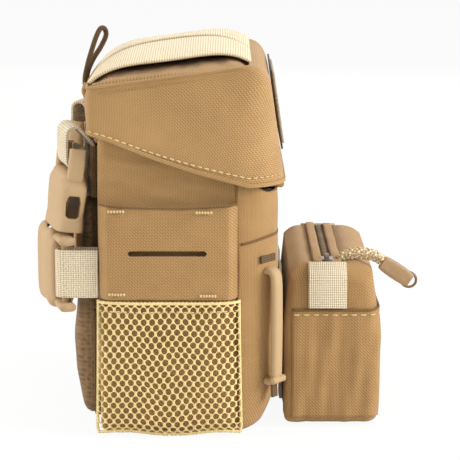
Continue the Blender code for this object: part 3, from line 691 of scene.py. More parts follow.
@dataclass
class PackBody:
    """The main compartment: outer shell, lining, mouth binding, seams, hinge strip and webbing rows."""

    bottom_round: float = 6 * MM
    wall: float = 2 * MM
    padding: float = 7.3 * MM
    around: int = 260
    up: int = 90
    rear: float = field(default_factory=lambda: float(lows("back_panel")[0]))
    front: float = field(default_factory=lambda: float(highs("front_panel")[0]))
    half: float = field(default_factory=lambda: float(highs("side_panel_left")[1]))
    corner: float = field(default_factory=lambda: float(highs("front_panel")[0] - highs("side_panel_left")[0]))
    back_top: float = field(default_factory=lambda: float(highs("back_panel")[2]))
    front_top: float = field(default_factory=lambda: float(highs("front_panel")[2]))
    hinge_top: float = field(default_factory=lambda: float(highs("lid_hinge_strip")[2]))

    def rim(self, x: Array) -> Array:
        """Height of the mouth: level at the rear, sloping down to the hinge at the front."""
        start = self.front - self.corner
        slope = (x - self.rear) / (start - self.rear)
        sloped = self.back_top - np.clip(slope, 0, 1) * (self.back_top - self.hinge_top - 9 * MM)
        return sloped - smooth((x - start) / (self.corner * 0.8)) * (9 * MM + self.hinge_top - self.front_top)

    def loft(self, inset: float, low: float, soft: float) -> Array:
        """Walls from the middle of the base up to the mouth.

        The plan outline shrinks over the base, turns up on a quarter circle and then rises; the walls swell by
        soft times a half sine of the height, and carry low wrinkles.

        Args:
            inset: inwards from the outer face.
            low: height of the base.
            soft: swell of the walls.

        Returns:
            Points, around by levels by 3.
        """
        r = self.bottom_round
        shrink = np.concatenate([[0.93, 0.6, 0.25], np.zeros(self.up)])
        turn = np.linspace(0, math.pi / 2, 8)
        tuck = np.concatenate([[r, r, r], r * (1 - np.sin(turn)), np.zeros(self.up - 8)])
        lift = np.concatenate([[0, 0, 0], r * (1 - np.cos(turn)), np.linspace(r, 1, self.up - 7)[1:]])
        levels = []
        for gone, aside, share in zip(shrink, tuck, lift):
            d = inset + aside
            plan = outline(
                self.rear + d, self.front - d, self.half - d, max(self.corner - d, 2 * MM), 4 * MM, self.around
            )
            middle = np.array([(self.rear + self.front) / 2, 0])
            plan = middle + (plan - middle) * (1 - gone)
            top = self.rim(plan[:, 0]) if share > r else None
            z = low + share if top is None else low + r + (share - r) / (1 - r) * (top - low - r)
            levels.append(np.column_stack([plan, np.broadcast_to(z, self.around)]))
        points = np.stack(levels, axis=1)
        height = (points[..., 2] - low) / (self.back_top - low)
        way = points[..., :2] - np.array([(self.rear + self.front) / 2, 0])
        way = np.stack([np.sign(way[..., 0]) * smooth((np.abs(way[..., 0]) - 30 * MM) / (12 * MM)),
                        np.zeros_like(way[..., 0])], axis=-1)
        forward = points[..., 0] > 0
        swell = soft * np.sin(np.pi * np.clip(height, 0, 1)) * smooth(height * 12)
        waves = ripple(points * np.array([1.0, 1.0, 1.7]), 46 * MM, 3) * 1.1 * MM * smooth(height * 9) * (soft > 0)
        points[..., 0] += way[..., 0] * (swell * np.where(forward, 1, 0.3) + waves * np.where(forward, 1, 0.2))
        foot = (1 - np.clip(points[..., 2] / (30 * MM), 0, 1)) ** 2
        points[..., 0] -= 9 * MM * foot * smooth((points[..., 0] - 20 * MM) / (22 * MM))
        crease = ripple(points * np.array([0.4, 1.0, 1.6]), 13 * MM, 13) - 1.0
        slack = smooth((points[..., 2] - 118 * MM) / (8 * MM)) * (soft > 0)
        slack = slack * smooth((np.abs(points[..., 1]) - self.half + 4 * MM) / (3 * MM))
        points[..., 1] += np.sign(points[..., 1]) * crease * slack * 1.1 * MM
        return points

    def build(self) -> None:
        """Makes the shell, lining, mouth binding, seams, hinge strip and rows."""
        shell = thicken(grid_surface("pack_shell", self.loft(0, 0.0, 1.5 * MM), closed=True), self.wall)
        close_ring(shell, self.around, self.up + 3, at_end=False)
        dress(shell, SHELL, "pack", "shell_fabric",
              "front_panel", "back_panel", "base_panel", "side_panel_left", "side_panel_right")
        inner = self.loft(self.wall + 0.5 * MM, self.wall + 0.6 * MM, 0.0)
        inner[..., 2] = np.minimum(inner[..., 2], self.rim(inner[..., 0]) - 1.5 * MM)
        lining = thicken(grid_surface("padded_lining", inner, closed=True), self.padding - self.wall - 1 * MM)
        close_ring(lining, self.around, self.up + 3, at_end=False)
        dress(lining, LINING, "pack", "foam",
              "front_foam", "base_foam", "side_foam_left", "side_foam_right", "back_frame_sheet")
        self.build_binding()
        self.build_seams()
        self.build_hinge()
        self.build_rows()

    def build_binding(self) -> None:
        """Tape folded over the mouth's edge: a flat section that follows the rim."""
        plan = outline(self.rear + 2.6 * MM, self.front - 3.6 * MM, self.half - 3.6 * MM,
                       self.corner - 3 * MM, 3 * MM, 200)
        rim = np.column_stack([plan, self.rim(plan[:, 0]) - 1.4 * MM])
        middle = np.array([0.005, 0, 0])
        across = (rim - middle) * np.array([1, 1, 0])
        across /= np.linalg.norm(across, axis=1)[:, None]
        closed = np.vstack([rim, rim[:1]])
        tape = sweep("mouth_binding", closed, np.vstack([across, across[:1]]), flat_section(5.6 * MM, 2.2 * MM))
        dress(tape, TAPE, "pack", "dark_tape")

    def build_seams(self) -> None:
        """Folded seams where the side panels meet the front panel, and the seam across the front, in a darker cloth
        that paints the shade in the folds.
        """
        for side, sign in SIDES:
            z = np.linspace(5 * MM, self.front_top + 10 * MM, 60)
            x = self.front - self.corner + 0.8 * MM + 0.5 * MM * np.sin(z * 90)
            y = np.full_like(z, sign * (self.half + 0.15 * MM))
            line = np.column_stack([x, y, z])
            seam = sweep(f"corner_seam_{side}", line, (1, 0, 0), flat_section(1.3 * MM, 0.7 * MM))
            dress(seam, SEAM_PAINTED_SHADE, "pack", "shell_fabric")
        plan = outline(self.rear, self.front + 1.35 * MM, self.half + 0.1 * MM, self.corner, 4 * MM, 260)
        front = plan[plan[:, 0] > self.front - self.corner + 1 * MM]
        rise = 3.4 * MM * smooth((front[:, 0] - self.front + self.corner) / self.corner)
        path = np.column_stack([front, 101 * MM + rise])
        dress(sweep("front_seam", path, (0, 0, 1), flat_section(1.2 * MM, 0.8 * MM)), SEAM_PAINTED_SHADE, "pack", "shell_fabric")

    def build_hinge(self) -> None:
        """Folded strip that the lid's front is sewn to: a quarter round roll under the hem."""
        low, high = lows("lid_hinge_strip"), highs("lid_hinge_strip")
        u = np.linspace(-1, 1, 60)
        y = u * high[1]
        x = np.full_like(y, (low[0] + high[0]) / 2)
        path = np.column_stack([x, y, np.full_like(y, (low[2] + high[2]) / 2)])
        strip = sweep("hinge_strip", path, (1, 0, 0), flat_section(high[0] - low[0], high[2] - low[2]))
        dress(strip, SHELL, "pack", "shell_fabric", "lid_hinge_strip")

    def build_rows(self) -> None:
        """Webbing rows on the pack's front and on the back of the pouch, tacked every 38 mm."""
        for node in ("front_webbing_upper", "front_webbing_lower", "pouch_webbing_upper", "pouch_webbing_lower"):
            low, high = lows(node), highs(node)
            y = np.linspace(low[1], high[1], 80)
            x = (low[0] + high[0]) / 2 - 0.25 * MM * np.cos(y / (38 * MM) * 2 * math.pi)
            path = np.column_stack([x, y, np.full_like(y, (low[2] + high[2]) / 2)])
            row = sweep(node + "_strap", path, (0, 0, 1), flat_section(high[2] - low[2], 1.5 * MM))
            dress(row, WEBBING, "pack", "pale_webbing", node)


@dataclass
class Clips:
    """Moulded strap clips at the front corners: a bowed bar with a bight at the top and a latch at the foot."""

    thick: float = 4.6 * MM
    width: float = 7.4 * MM

    def build(self) -> None:
        """Makes both clips along the centre lines of their frame nodes."""
        for side, sign in SIDES:
            low, high = lows("clip_" + side), highs("clip_" + side)
            angle = math.radians(38)
            out = np.array([math.cos(angle), sign * math.sin(angle), 0])
            tangent = np.array([-out[1], out[0], 0])
            foot = np.array([32 * MM, sign * 55 * MM, 0]) + out * 20.6 * MM
            top, base = high[2] - self.thick / 2, low[2] + self.thick / 2
            reach = np.array([0, 2.2, 4.6, 5.6, 5.9, 6.0, 5.8, 5.6, 4.6, 2.2, 0]) * MM
            level = np.array([0, 0.2, -1.2, -5, -12, -30, -48, -54.5, -57.4, -58.6, -58.4]) * MM + top
            level = top - (top - level) * (top - base) / (58.6 * MM)
            path = spline(foot + reach[:, None] * out + level[:, None] * np.array([0, 0, 1.0]), 70)
            bar = sweep(f"pouch_clip_{side}", path, tangent, flat_section(self.width, self.thick * 0.8, 0.49))
            dress(bar, ACETAL, "pack", "moulded_acetal", "clip_" + side)
            latch_z = base + 1.5 * MM
            spot = foot + out * 6.6 * MM + np.array([0, 0, latch_z])
            line = np.stack([spot - tangent * 5 * MM, spot - tangent * 1 * MM, spot + tangent * 5 * MM])
            latch = sweep(f"clip_latch_{side}", spline(line, 12), out, flat_section(3.4 * MM, 3.6 * MM, 0.4))
            dress(latch, ACETAL, "pack", "moulded_acetal")
            tail = np.stack([foot + out * 4.2 * MM + [0, 0, base - 1 * MM],
                             foot + out * 4.6 * MM + [0, 0, base - 8 * MM]])
            dress(sweep(f"clip_tail_{side}", spline(np.vstack([tail[0], tail.mean(0), tail[1]]), 8), tangent,
                        flat_section(5 * MM, 1.2 * MM)), TAPE, "pack", "dark_tape")
            tack_centre = foot + out * -0.1 * MM + np.array([0, 0, high[2] + 4 * MM])
            line = np.stack([tack_centre - tangent * 6 * MM, tack_centre, tack_centre + tangent * 6 * MM])
            dress(sweep(f"clip_tack_{side}", spline(line, 20), (0, 0, 1), flat_section(4 * MM, 1.1 * MM)),
                  TAPE, "pack", "dark_tape")


# ---------------------------------------------------------------- the lid


LID_SLOPE = 0.133     # rise of the lid's top edge towards the front, for each metre
SKIRT_LEVELS = 46     # rows of points from the hem to the top edge


@dataclass
class Lid:
    """Moulded lid: skirt and top in one soft shell, hem, welt, stitches, bands, patch field and pull loop."""

    around: int = 300
    wall: float = 3.2 * MM
    rear: float = field(default_factory=lambda: float(lows("lid_skirt")[0]))
    roll: float = 9 * MM
    front_low: float = field(default_factory=lambda: float(highs("lid_skirt")[0]))
    front_high: float = field(default_factory=lambda: float(highs("lid_top")[0]))
    half_low: float = field(default_factory=lambda: float(highs("lid_skirt")[1]))
    half_high: float = field(default_factory=lambda: float(highs("lid_top")[1]))
    hem_front: float = field(default_factory=lambda: float(lows("lid_skirt")[2]))
    hem_rear: float = field(default_factory=lambda: float(lows("lid_back")[2]))
    slope: float = LID_SLOPE
    crest: float = field(
        default_factory=lambda: float(
            highs("lid_top")[2] - LID_SLOPE * (highs("lid_top")[0] - lows("lid_skirt")[0])
        )
    )

    def top(self, x: Array) -> Array:
        """Height of the lid's top edge."""
        return self.crest + self.slope * (x - self.rear)

    def hem(self, x: Array) -> Array:
        """Height of the hem: high at the rear, a slack slope along the sides, level round the front."""
        share = np.clip((38 * MM - x) / (38 * MM - self.rear), 0, 1)
        slack = -2.2 * MM * np.sin(np.pi * np.clip(share * 1.15, 0, 1))
        return self.hem_front + (self.hem_rear - 2 * MM - self.hem_front) * share**0.94 + slack * (share < 0.87)

    def plan(self, share: float) -> Array:
        """Plan outline at a share of the skirt's height.

        The front corners are widely round at the hem and close to sharp at the top, where the front rolls back
        into the top edge. The rear side bellies out a little.

        Args:
            share: 0 at the hem, 1 at the top edge.

        Returns:
            Points, around by 2.
        """
        turn = np.clip((share - 0.8) / 0.2, 0, 1)
        front = self.front_low + (self.front_high - self.front_low) * share
        front -= self.roll * (1 - math.sqrt(1 - turn**2))
        half = self.half_low + (self.half_high - self.half_low) * share
        radius = (26 - 21 * share**2.2) * MM
        path = outline(self.rear, front, half, radius, 4 * MM, self.around)
        reach = np.clip((path[:, 0] - self.rear) / (front - self.rear), 0, 1)
        belly = 5 * MM * (0.3 + 0.7 * math.sin(math.pi * share)) * (1 - (path[:, 1] / half) ** 2)
        path[:, 0] -= belly * (1 - smooth(reach * 6))
        return path

    def shell_points(self) -> Array:
        """Skirt from the hem to the top edge, then the top over to its middle.

        On the skirt the height runs from the hem to the top edge. On the top the edge outline shrinks to the
        middle, first down into the seam's groove and then up to a puckered field.

        Returns:
            Points, around by levels by 3.
        """
        levels = []
        shares = [*np.linspace(0, 0.8, 32), *(0.8 + 0.2 * np.sin(np.linspace(0, math.pi / 2, 15)[1:]))]
        for share in shares:
            path = self.plan(share)
            low, high = self.hem(path[:, 0]), self.top(path[:, 0])
            levels.append(np.column_stack([path, low + (high - low) * share]))
        edge = self.plan(1.0)
        middle = np.array([(self.rear + self.front_high) / 2, 0])
        for gone in (0.012, 0.03, 0.06, 0.1, 0.15, 0.22, 0.3, 0.4, 0.5, 0.62, 0.74, 0.86, 0.97):
            path = middle + (edge - middle) * (1 - gone)
            dip = -0.9 * MM * smooth(gone / 0.03) + 4.6 * MM * smooth(gone / 0.25)
            levels.append(np.column_stack([path, self.top(path[:, 0]) + dip]))
        points = np.stack(levels, axis=1)
        top_part = np.arange(points.shape[1])[None, :] > SKIRT_LEVELS
        pucker = ripple(points * np.array([1.6, 0.5, 0.2]), 12 * MM, 5) * 0.5 * MM
        points[..., 2] += np.where(top_part, pucker, 0)
        share = np.clip(np.arange(points.shape[1]) / (SKIRT_LEVELS - 1), 0, 1)[None, :]
        wave = ripple(points, 60 * MM, 9) * 0.9 * MM * np.sin(np.pi * share)
        points[..., 1] += np.sign(points[..., 1]) * wave * smooth((np.abs(points[..., 1]) - 60 * MM) / (10 * MM))
        hollow = -1.3 * MM * np.sin(np.pi * share) * bump(points[..., 0], 0.0, 40 * MM)
        points[..., 1] += np.sign(points[..., 1]) * hollow * smooth((np.abs(points[..., 1]) - 60 * MM) / (10 * MM))
        return points

    def build(self) -> None:
        """Makes the shell, the hem, welt, bands, patch field and pull loop, and gives the magnets a finish."""
        points = self.shell_points()
        shell = thicken(grid_surface("lid_shell", points, closed=True), self.wall)
        close_ring(shell, points.shape[0], points.shape[1], at_end=True)
        dress(shell, LID_CLOTH, "lid", "shell_fabric", "lid_skirt", "lid_top", "lid_back", "lid_foam")
        self.build_hem(points)
        self.build_welt(points)
        self.build_bands()
        self.build_patch()
        self.build_loop()
        redress(HIDDEN, "lid_magnet_left", "lid_magnet_right", "body_magnet_left", "body_magnet_right")

    def build_hem(self, points: Array) -> None:
        """Folded hem along the skirt's lower edge and a row of stitches 2.6 mm above it."""
        low = points[:, 0]
        outward = low * np.array([1, 1, 0])
        outward /= np.linalg.norm(outward, axis=1)[:, None]
        ring = np.vstack([low, low[:1]]) + np.array([0, 0, 0.9 * MM])
        off = np.vstack([outward, outward[:1]])
        path = ring + off * 0.15 * MM
        dress(sweep("lid_hem", path, (0, 0, 1), flat_section(2.2 * MM, 0.9 * MM)), LID_CLOTH, "lid", "shell_fabric")
        row = points[:, 3]
        sides = np.abs(row[:, 1]) > 58 * MM
        for name, sign in SIDES:
            picked = row[sides & (np.sign(row[:, 1]) == sign)]
            picked = picked[np.argsort(picked[:, 0])]
            lift = np.array([0, sign * 0.35 * MM, 0])
            dress(stitches(f"hem_stitches_{name}", picked + lift, np.array([0.0, sign, 0.0]), 3.6 * MM, 2.5 * MM,
                           0.42 * MM), THREAD, "lid", "shell_fabric")

    def build_welt(self, points: Array) -> None:
        """Pinched seam round the top edge."""
        edge = points[:, SKIRT_LEVELS - 1]
        ring = np.vstack([edge, edge[:1]]) + np.array([0, 0, 0.1 * MM])
        across = ring * np.array([1, 1, 0])
        across /= np.linalg.norm(across, axis=1)[:, None]
        dress(sweep("lid_welt", ring, across, round_section(0.75 * MM, 8)), LID_CLOTH, "lid", "shell_fabric")

    def build_bands(self) -> None:
        """Two ribbed bands: an arch with rise * (1 - (2s - 1)^4) from the rear seam to the front seam."""
        for side, sign in SIDES:
            node = "stash_band_" + side
            low, high = lows(node), highs(node)
            s = np.linspace(0, 1, 90)
            x = low[0] + s * (self.front_high - self.roll - low[0])
            lift = 8.5 * MM * (1 - (2 * s - 1) ** 4)
            z = self.top(x) + 1.2 * MM + lift + 1.1 * MM * (sign > 0) * np.sin(np.pi * s) ** 0.5
            tilt = 2.0 * MM * np.sin(np.pi * s)
            y = np.full_like(x, (low[1] + high[1]) / 2)
            across = np.column_stack([np.zeros_like(s), np.full_like(s, 1.0), -sign * tilt / (32 * MM)])
            path = np.column_stack([x, y, z])
            band = sweep(f"ribbed_band_{side}", path, across, flat_section(high[1] - low[1], 1.7 * MM))
            dress(band, BAND, "lid", "ribbed_band", node)

    def build_patch(self) -> None:
        """Bare loop field on the front: a backing with a rolled rim and a raised pile."""
        low, high = lows("lid_patch"), highs("lid_patch")
        foot = np.array([high[0] - 0.9 * MM, low[2]])
        head = np.array([low[0] + 0.9 * MM, high[2]])
        s = np.linspace(0, 1, 30)
        line = foot + s[:, None] * (head - foot)
        for name, thick, inset, push, finish in (
            ("badge_field_backing", 1.0 * MM, 0.0, 0.3 * MM, TAPE),
            ("badge_field_pile", 1.6 * MM, 2.0 * MM, 1.0 * MM, PATCH),
        ):
            rows = np.column_stack([line[:, 0] + push, np.zeros(30), line[:, 1]])
            rows = rows[2:-2] if inset else rows
            field_piece = sweep(name, rows, (0, 1, 0), flat_section(2 * high[1] - 2 * inset, thick))
            if name.endswith("backing"):
                dress(field_piece, finish, "lid", "patch_field", "lid_patch")
            else:
                dress(field_piece, finish, "lid", "patch_field")

    def build_loop(self) -> None:
        """Pull loop of 2.8 mm cord, sewn into the rear top seam, and its fabric tab."""
        rear = lows("lid_back")[0] - 0.6 * MM - 1.4 * MM
        route = np.array([
            (0, -3, 171), (-0.6, -3.4, 178), (1, -3.6, 186), (3.4, -3.4, 194), (5.8, -2.6, 201), (8, -0.6, 205),
            (10, 1.4, 204.6), (10.6, 2.8, 201), (7.6, 3.6, 194.6), (3.4, 3.8, 188), (0.2, 3.6, 180), (0, 3, 171),
        ]) * MM + np.array([rear, 0, 0])
        path = spline(route, 90)
        loop = sweep("lid_pull_loop", path, (0.3, 1, 0.2), round_section(1.4 * MM, 12))
        dress(loop, CORD, "lid", "loop_cord", "pull_loop")
        tab = np.array([(rear + 0.4 * MM, 0, 168 * MM), (rear - 0.9 * MM, 0, 172 * MM),
                        (rear + 0.6 * MM, 0, 176 * MM)])
        dress(sweep("loop_tab", spline(tab, 16), (0, 1, 0), flat_section(13 * MM, 3.2 * MM)), LID_CLOTH, "lid",
              "shell_fabric")


# ---------------------------------------------------------------- side pockets


@dataclass
class SidePockets:
    """On each side a slotted laminate panel above and a hexagonal net below."""

    across_cells: int = 17
    cell: float = 4.35 * MM
    row: float = 3.0 * MM

    def build(self) -> None:
        """Makes the panel, its edge, bartacks and the net on both sides."""
        for side, sign in SIDES:
            self.build_panel(side, sign)
            self.build_net(side, sign)

    def build_panel(self, side: str, sign: int) -> None:
        """Laminate sheet round a cut slot: rings that run from the slot's outline to the panel's outline."""
        low, high = lows("pocket_panel_" + side), highs("pocket_panel_" + side)
        outer = max(abs(low[1]), abs(high[1]))
        count = 200
        middle = np.array([-3.2 * MM, 97.5 * MM])
        slot = outline(-20 * MM, 20 * MM, 1.4 * MM, 1.39 * MM, 1.39 * MM, count) + middle
        rim = outline(low[0], high[0], (high[2] - low[2]) / 2, 1.5 * MM, 1.5 * MM, count)
        rim[:, 1] += (low[2] + high[2]) / 2
        steps = np.concatenate([[0, 0.02], np.linspace(0.06, 1, 26)])
        flat = slot[:, None] + steps[None, :, None] * (rim - slot)[:, None]
        x, z = flat[..., 0], flat[..., 1]
        tall = (z - low[2]) / (high[2] - low[2])
        sag = -1.6 * MM * smooth((tall - 0.75) * 4) * np.sin(np.pi * (x - low[0]) / (high[0] - low[0]))
        depth = outer - 0.7 * MM + ripple(np.stack([x * 1.4, z * 0 + 0.1, z * 0.8], axis=-1), 30 * MM, 11) * 0.35 * MM
        pull = 4.2 * MM * smooth((np.abs(x - (low[0] + high[0]) / 2) / ((high[0] - low[0]) / 2) - 0.86) * 7)
        points = np.stack([x, sign * (depth - pull), z + sag], axis=-1)
        uv = np.concatenate([flat, flat[:1]])
        if sign > 0:
            points, uv = points[::-1], uv[::-1]
        sheet = grid_surface(f"slotted_panel_{side}", points[:, ::-1], closed=True, uv_of=uv[:, ::-1])
        thicken(sheet, 1.1 * MM)
        dress(sheet, SHELL, "pack", "shell_fabric", "pocket_panel_" + side)
        # Top edge of the panel: a strip of the darker seam cloth, painted shade under the pocket's free edge.
        edge_x = np.linspace(low[0] + 0.5 * MM, high[0] - 0.5 * MM, 60)
        edge_z = high[2] - 1.6 * MM * np.sin(np.pi * (edge_x - low[0]) / (high[0] - low[0]))
        flat_pull = 4.2 * MM * smooth((np.abs(edge_x - (low[0] + high[0]) / 2) / ((high[0] - low[0]) / 2) - 0.86) * 7)
        line = np.column_stack([edge_x, sign * (outer - 0.6 * MM - flat_pull), edge_z])
        dress(sweep(f"panel_edge_{side}", line, (0, 0, 1), flat_section(1.1 * MM, 1.5 * MM)), SEAM_PAINTED_SHADE, "pack",
              "shell_fabric")
        for number, (tack_x, tack_z) in enumerate(((-29, 119.5), (15.5, 119.0), (-29, 76.5), (17.5, 75.8))):
            self.build_tack(f"bartack_{side}_{number}", tack_x * MM, sign * (outer + 0.15 * MM), tack_z * MM, sign)

    def build_tack(self, name: str, x: float, y: float, z: float, sign: int) -> None:
        """Bartack: close upright stitches across a 9 mm line."""
        line = np.column_stack([np.linspace(x - 4.4 * MM, x + 4.4 * MM, 12), np.full(12, y), np.full(12, z)])
        tack = stitches(name, line, np.array([0.0, sign, 0.0]), 1.3 * MM, 1.25 * MM, 0.75 * MM)
        dress(tack, THREAD, "pack", "shell_fabric")

    def net_surface(self, s: Array, t: Array, side: str) -> Array:
        """Place on the net's bulged sheet, s from rear to front and t upwards, both 0 to 1.

        The depth is a rounded box over s, tight at both side seams, fuller low down than at the hem; the outline
        widens towards the foot.
        """
        low, high = lows("mesh_pocket_" + side), highs("mesh_pocket_" + side)
        sign = 1 if high[1] > 0 else -1
        inner, outer = min(abs(low[1]), abs(high[1])), max(abs(low[1]), abs(high[1]))
        held = 16 * s * (1 - s) * t * (1 - t)
        s, t = s + 0.007 * held * np.sin(21 * t + 5 * s), t + 0.012 * held * np.sin(17 * s + 4 * t + 2)
        spread = 1.2 * MM * (1 - t) ** 1.5
        x = (low[0] + 1 * MM - spread) + s * (high[0] - low[0] - 2 * MM + 2 * spread)
        edge = 1 - np.abs(2 * s - 1) ** 7
        full = 0.72 + 0.28 * np.sin(np.pi * np.clip(t * 0.9 + 0.1, 0, 1))
        under = smooth(t * 9)
        y = inner + 0.3 * MM + (outer - inner - 0.6 * MM) * edge * full * (0.35 + 0.65 * under)
        y += ripple(np.stack([x, x * 0, t * 0.07], axis=-1), 34 * MM, 21) * 0.7 * MM * edge
        z = low[2] + 0.9 * MM + t * (high[2] - low[2] - 1.2 * MM)
        z += 1.1 * MM * np.sin(s * 9.0) * (1 - t) ** 2 * edge
        return np.stack([x, sign * y, np.maximum(z, low[2] + 0.5 * MM)], axis=-1)

    def build_net(self, side: str, sign: int) -> None:
        """Net of staggered hexagons: each cell is a band from its hexagon to an oval hole, eight points round."""
        low, high = lows("mesh_pocket_" + side), highs("mesh_pocket_" + side)
        width, tall = high[0] - low[0], high[2] - low[2]
        rows = int(tall / self.row)
        nx, step = self.across_cells, 1 / self.across_cells
        grid_i, grid_j = np.meshgrid(np.arange(-1, nx + 1), np.arange(-1, rows + 1), indexing="ij")
        centre_s = (grid_i + 0.5 + 0.5 * (grid_j % 2)) * step
        centre_t = (grid_j + 0.5) / rows
        hexagon = np.stack([np.array([0.5, 0, -0.5, -0.5, 0, 0.5]) * step,
                            np.array([1, 2, 1, -1, -2, -1]) / (3 * rows)], axis=1)
        outer_ring = np.repeat(hexagon, 2, axis=0)
        outer_ring[1::2] = (hexagon + np.roll(hexagon, -1, axis=0)) / 2
        hole_angle = np.arctan2(outer_ring[:, 1] * 0.66 * rows, outer_ring[:, 0] * 0.62 * nx)
        hole = np.stack([np.cos(hole_angle) * 0.37 * step, np.sin(hole_angle) * 0.59 / rows], axis=1)
        cells = np.stack([centre_s.ravel(), centre_t.ravel()], axis=1)
        st = np.stack([cells[:, None] + outer_ring, cells[:, None] + hole], axis=2)
        inside = (st[..., 0].min(axis=(1, 2)) > -0.01) & (st[..., 0].max(axis=(1, 2)) < 1.01)
        inside &= (st[..., 1].min(axis=(1, 2)) > -0.01) & (st[..., 1].max(axis=(1, 2)) < 1.01)
        st = np.clip(st[inside], 0, 1)
        count = len(st)
        points = self.net_surface(st[..., 0], st[..., 1], side).reshape(-1, 3)
        quads, _ = lattice(12, 2, True)
        faces = (quads[None] + 24 * np.arange(count)[:, None, None]).reshape(-1, 4)
        _, first, back = np.unique(np.round(points, 6), axis=0, return_index=True, return_inverse=True)
        faces = back.reshape(-1)[faces]
        flat = st.reshape(-1, 2)[first] * np.array([width, tall])
        if sign < 0:
            faces = faces[:, ::-1]
        keep = np.array([len(set(face)) == 4 for face in faces.tolist()])
        faces = faces[keep]
        net = make_mesh(f"hexagonal_net_{side}", points[first], faces.tolist(), flat[faces.ravel()])
        thicken(net, 0.75 * MM, 0.0)
        LOG.info("net cells %d, %d points", count, len(first))
        dress(net, NET, "pack", "hex_net", "mesh_pocket_" + side)
        self.build_hems(side, sign)

    def build_hems(self, side: str, sign: int) -> None:
        """Edges of the net: a turned hem at the top with its stitches, and rolled side and foot edges."""
        s = np.linspace(0, 1, 60)
        hem = self.net_surface(s, np.full_like(s, 0.985), side)
        dress(sweep(f"net_hem_{side}", hem, (0, 0, 1), flat_section(1.5 * MM, 1.2 * MM)), NET, "pack", "hex_net")
        row = self.net_surface(s, np.full_like(s, 0.925), side) + np.array([0, sign * 0.5 * MM, 0])
        dress(stitches(f"net_stitches_{side}", row, np.array([0.0, sign, 0.0]), 3.4 * MM, 2.4 * MM, 0.4 * MM),
              THREAD, "pack", "hex_net")
        t = np.linspace(1, 0, 40)
        edge = np.vstack([
            self.net_surface(np.zeros_like(t), t, side)[:-2],
            self.net_surface(np.linspace(0.01, 0.99, 60), np.full(60, 0.012), side),
            self.net_surface(np.ones_like(t), t[::-1], side)[2:],
        ])
        edge = resample(edge, 160)
        edge[:, 2] = np.maximum(edge[:, 2], 1.8 * MM)
        dress(sweep(f"net_edge_{side}", edge, (0, 1, 0), flat_section(1.2 * MM, 1.5 * MM, 0.49)), NET, "pack",
              "hex_net")


# ---------------------------------------------------------------- back pad, straps, buckles


@dataclass
class BackPad:
    """Spacer-mesh pad with a bound edge, fuller in its middle."""

    def build(self) -> None:
        """Makes the pad: a rounded rectangle whose face rises as (1 - a^6)(1 - b^6) over its half sizes."""
        low, high = lows("back_pad"), highs("back_pad")
        half_y, half_z = high[1], (high[2] - low[2]) / 2
        middle_z = (high[2] + low[2]) / 2
        edge = outline(-half_y, half_y, half_z, 8 * MM, 8 * MM, 200)
        levels = []
        for gone, depth in zip(
            (0.35, 0, 0, 0, 0.02, 0.05, 0.1, 0.18, 0.3, 0.45, 0.6, 0.8, 0.97),
            (0.0, 0.0, 0.3, 0.55, 0.72, 0.82, 0.89, 0.94, 0.98, 1.02, 1.06, 1.09, 1.1),
        ):
            ring = edge * (1 - gone)
            x = high[0] - depth * (high[0] - low[0])
            quilt = 1.3 * MM * bump(np.abs(ring[:, 0]), 22 * MM, 3 * MM) * (depth > 0.7)
            levels.append(np.column_stack([x + quilt, ring[:, 0], ring[:, 1] + middle_z]))
        points = np.stack(levels, axis=1)[::-1]
        points[..., 0] += ripple(points, 22 * MM, 31) * 0.35 * MM
        proud = smooth((high[0] - points[..., 0]) / (high[0] - low[0]) * 1.4 - 0.4)
        points[..., 0] -= 5 * MM * bump(points[..., 2], 44 * MM, 32 * MM) * proud
        uv = np.concatenate([points, points[:1]])
        uv = np.stack([uv[..., 1] + uv[..., 0], uv[..., 2]], axis=-1)
        pad = grid_surface("spacer_mesh_pad", points, closed=True, caps=True, uv_of=uv)
        dress(pad, SPACER, "pack", "spacer_mesh", "back_pad")
        ring = np.column_stack([np.full(200, high[0] - 2.2 * MM), edge[:, 0] * 1.012, edge[:, 1] * 1.012 + middle_z])
        ring = np.vstack([ring, ring[:1]])
        dress(sweep("pad_binding", ring, (1, 0, 0), flat_section(4 * MM, 1.8 * MM)), TAPE, "pack", "dark_tape")


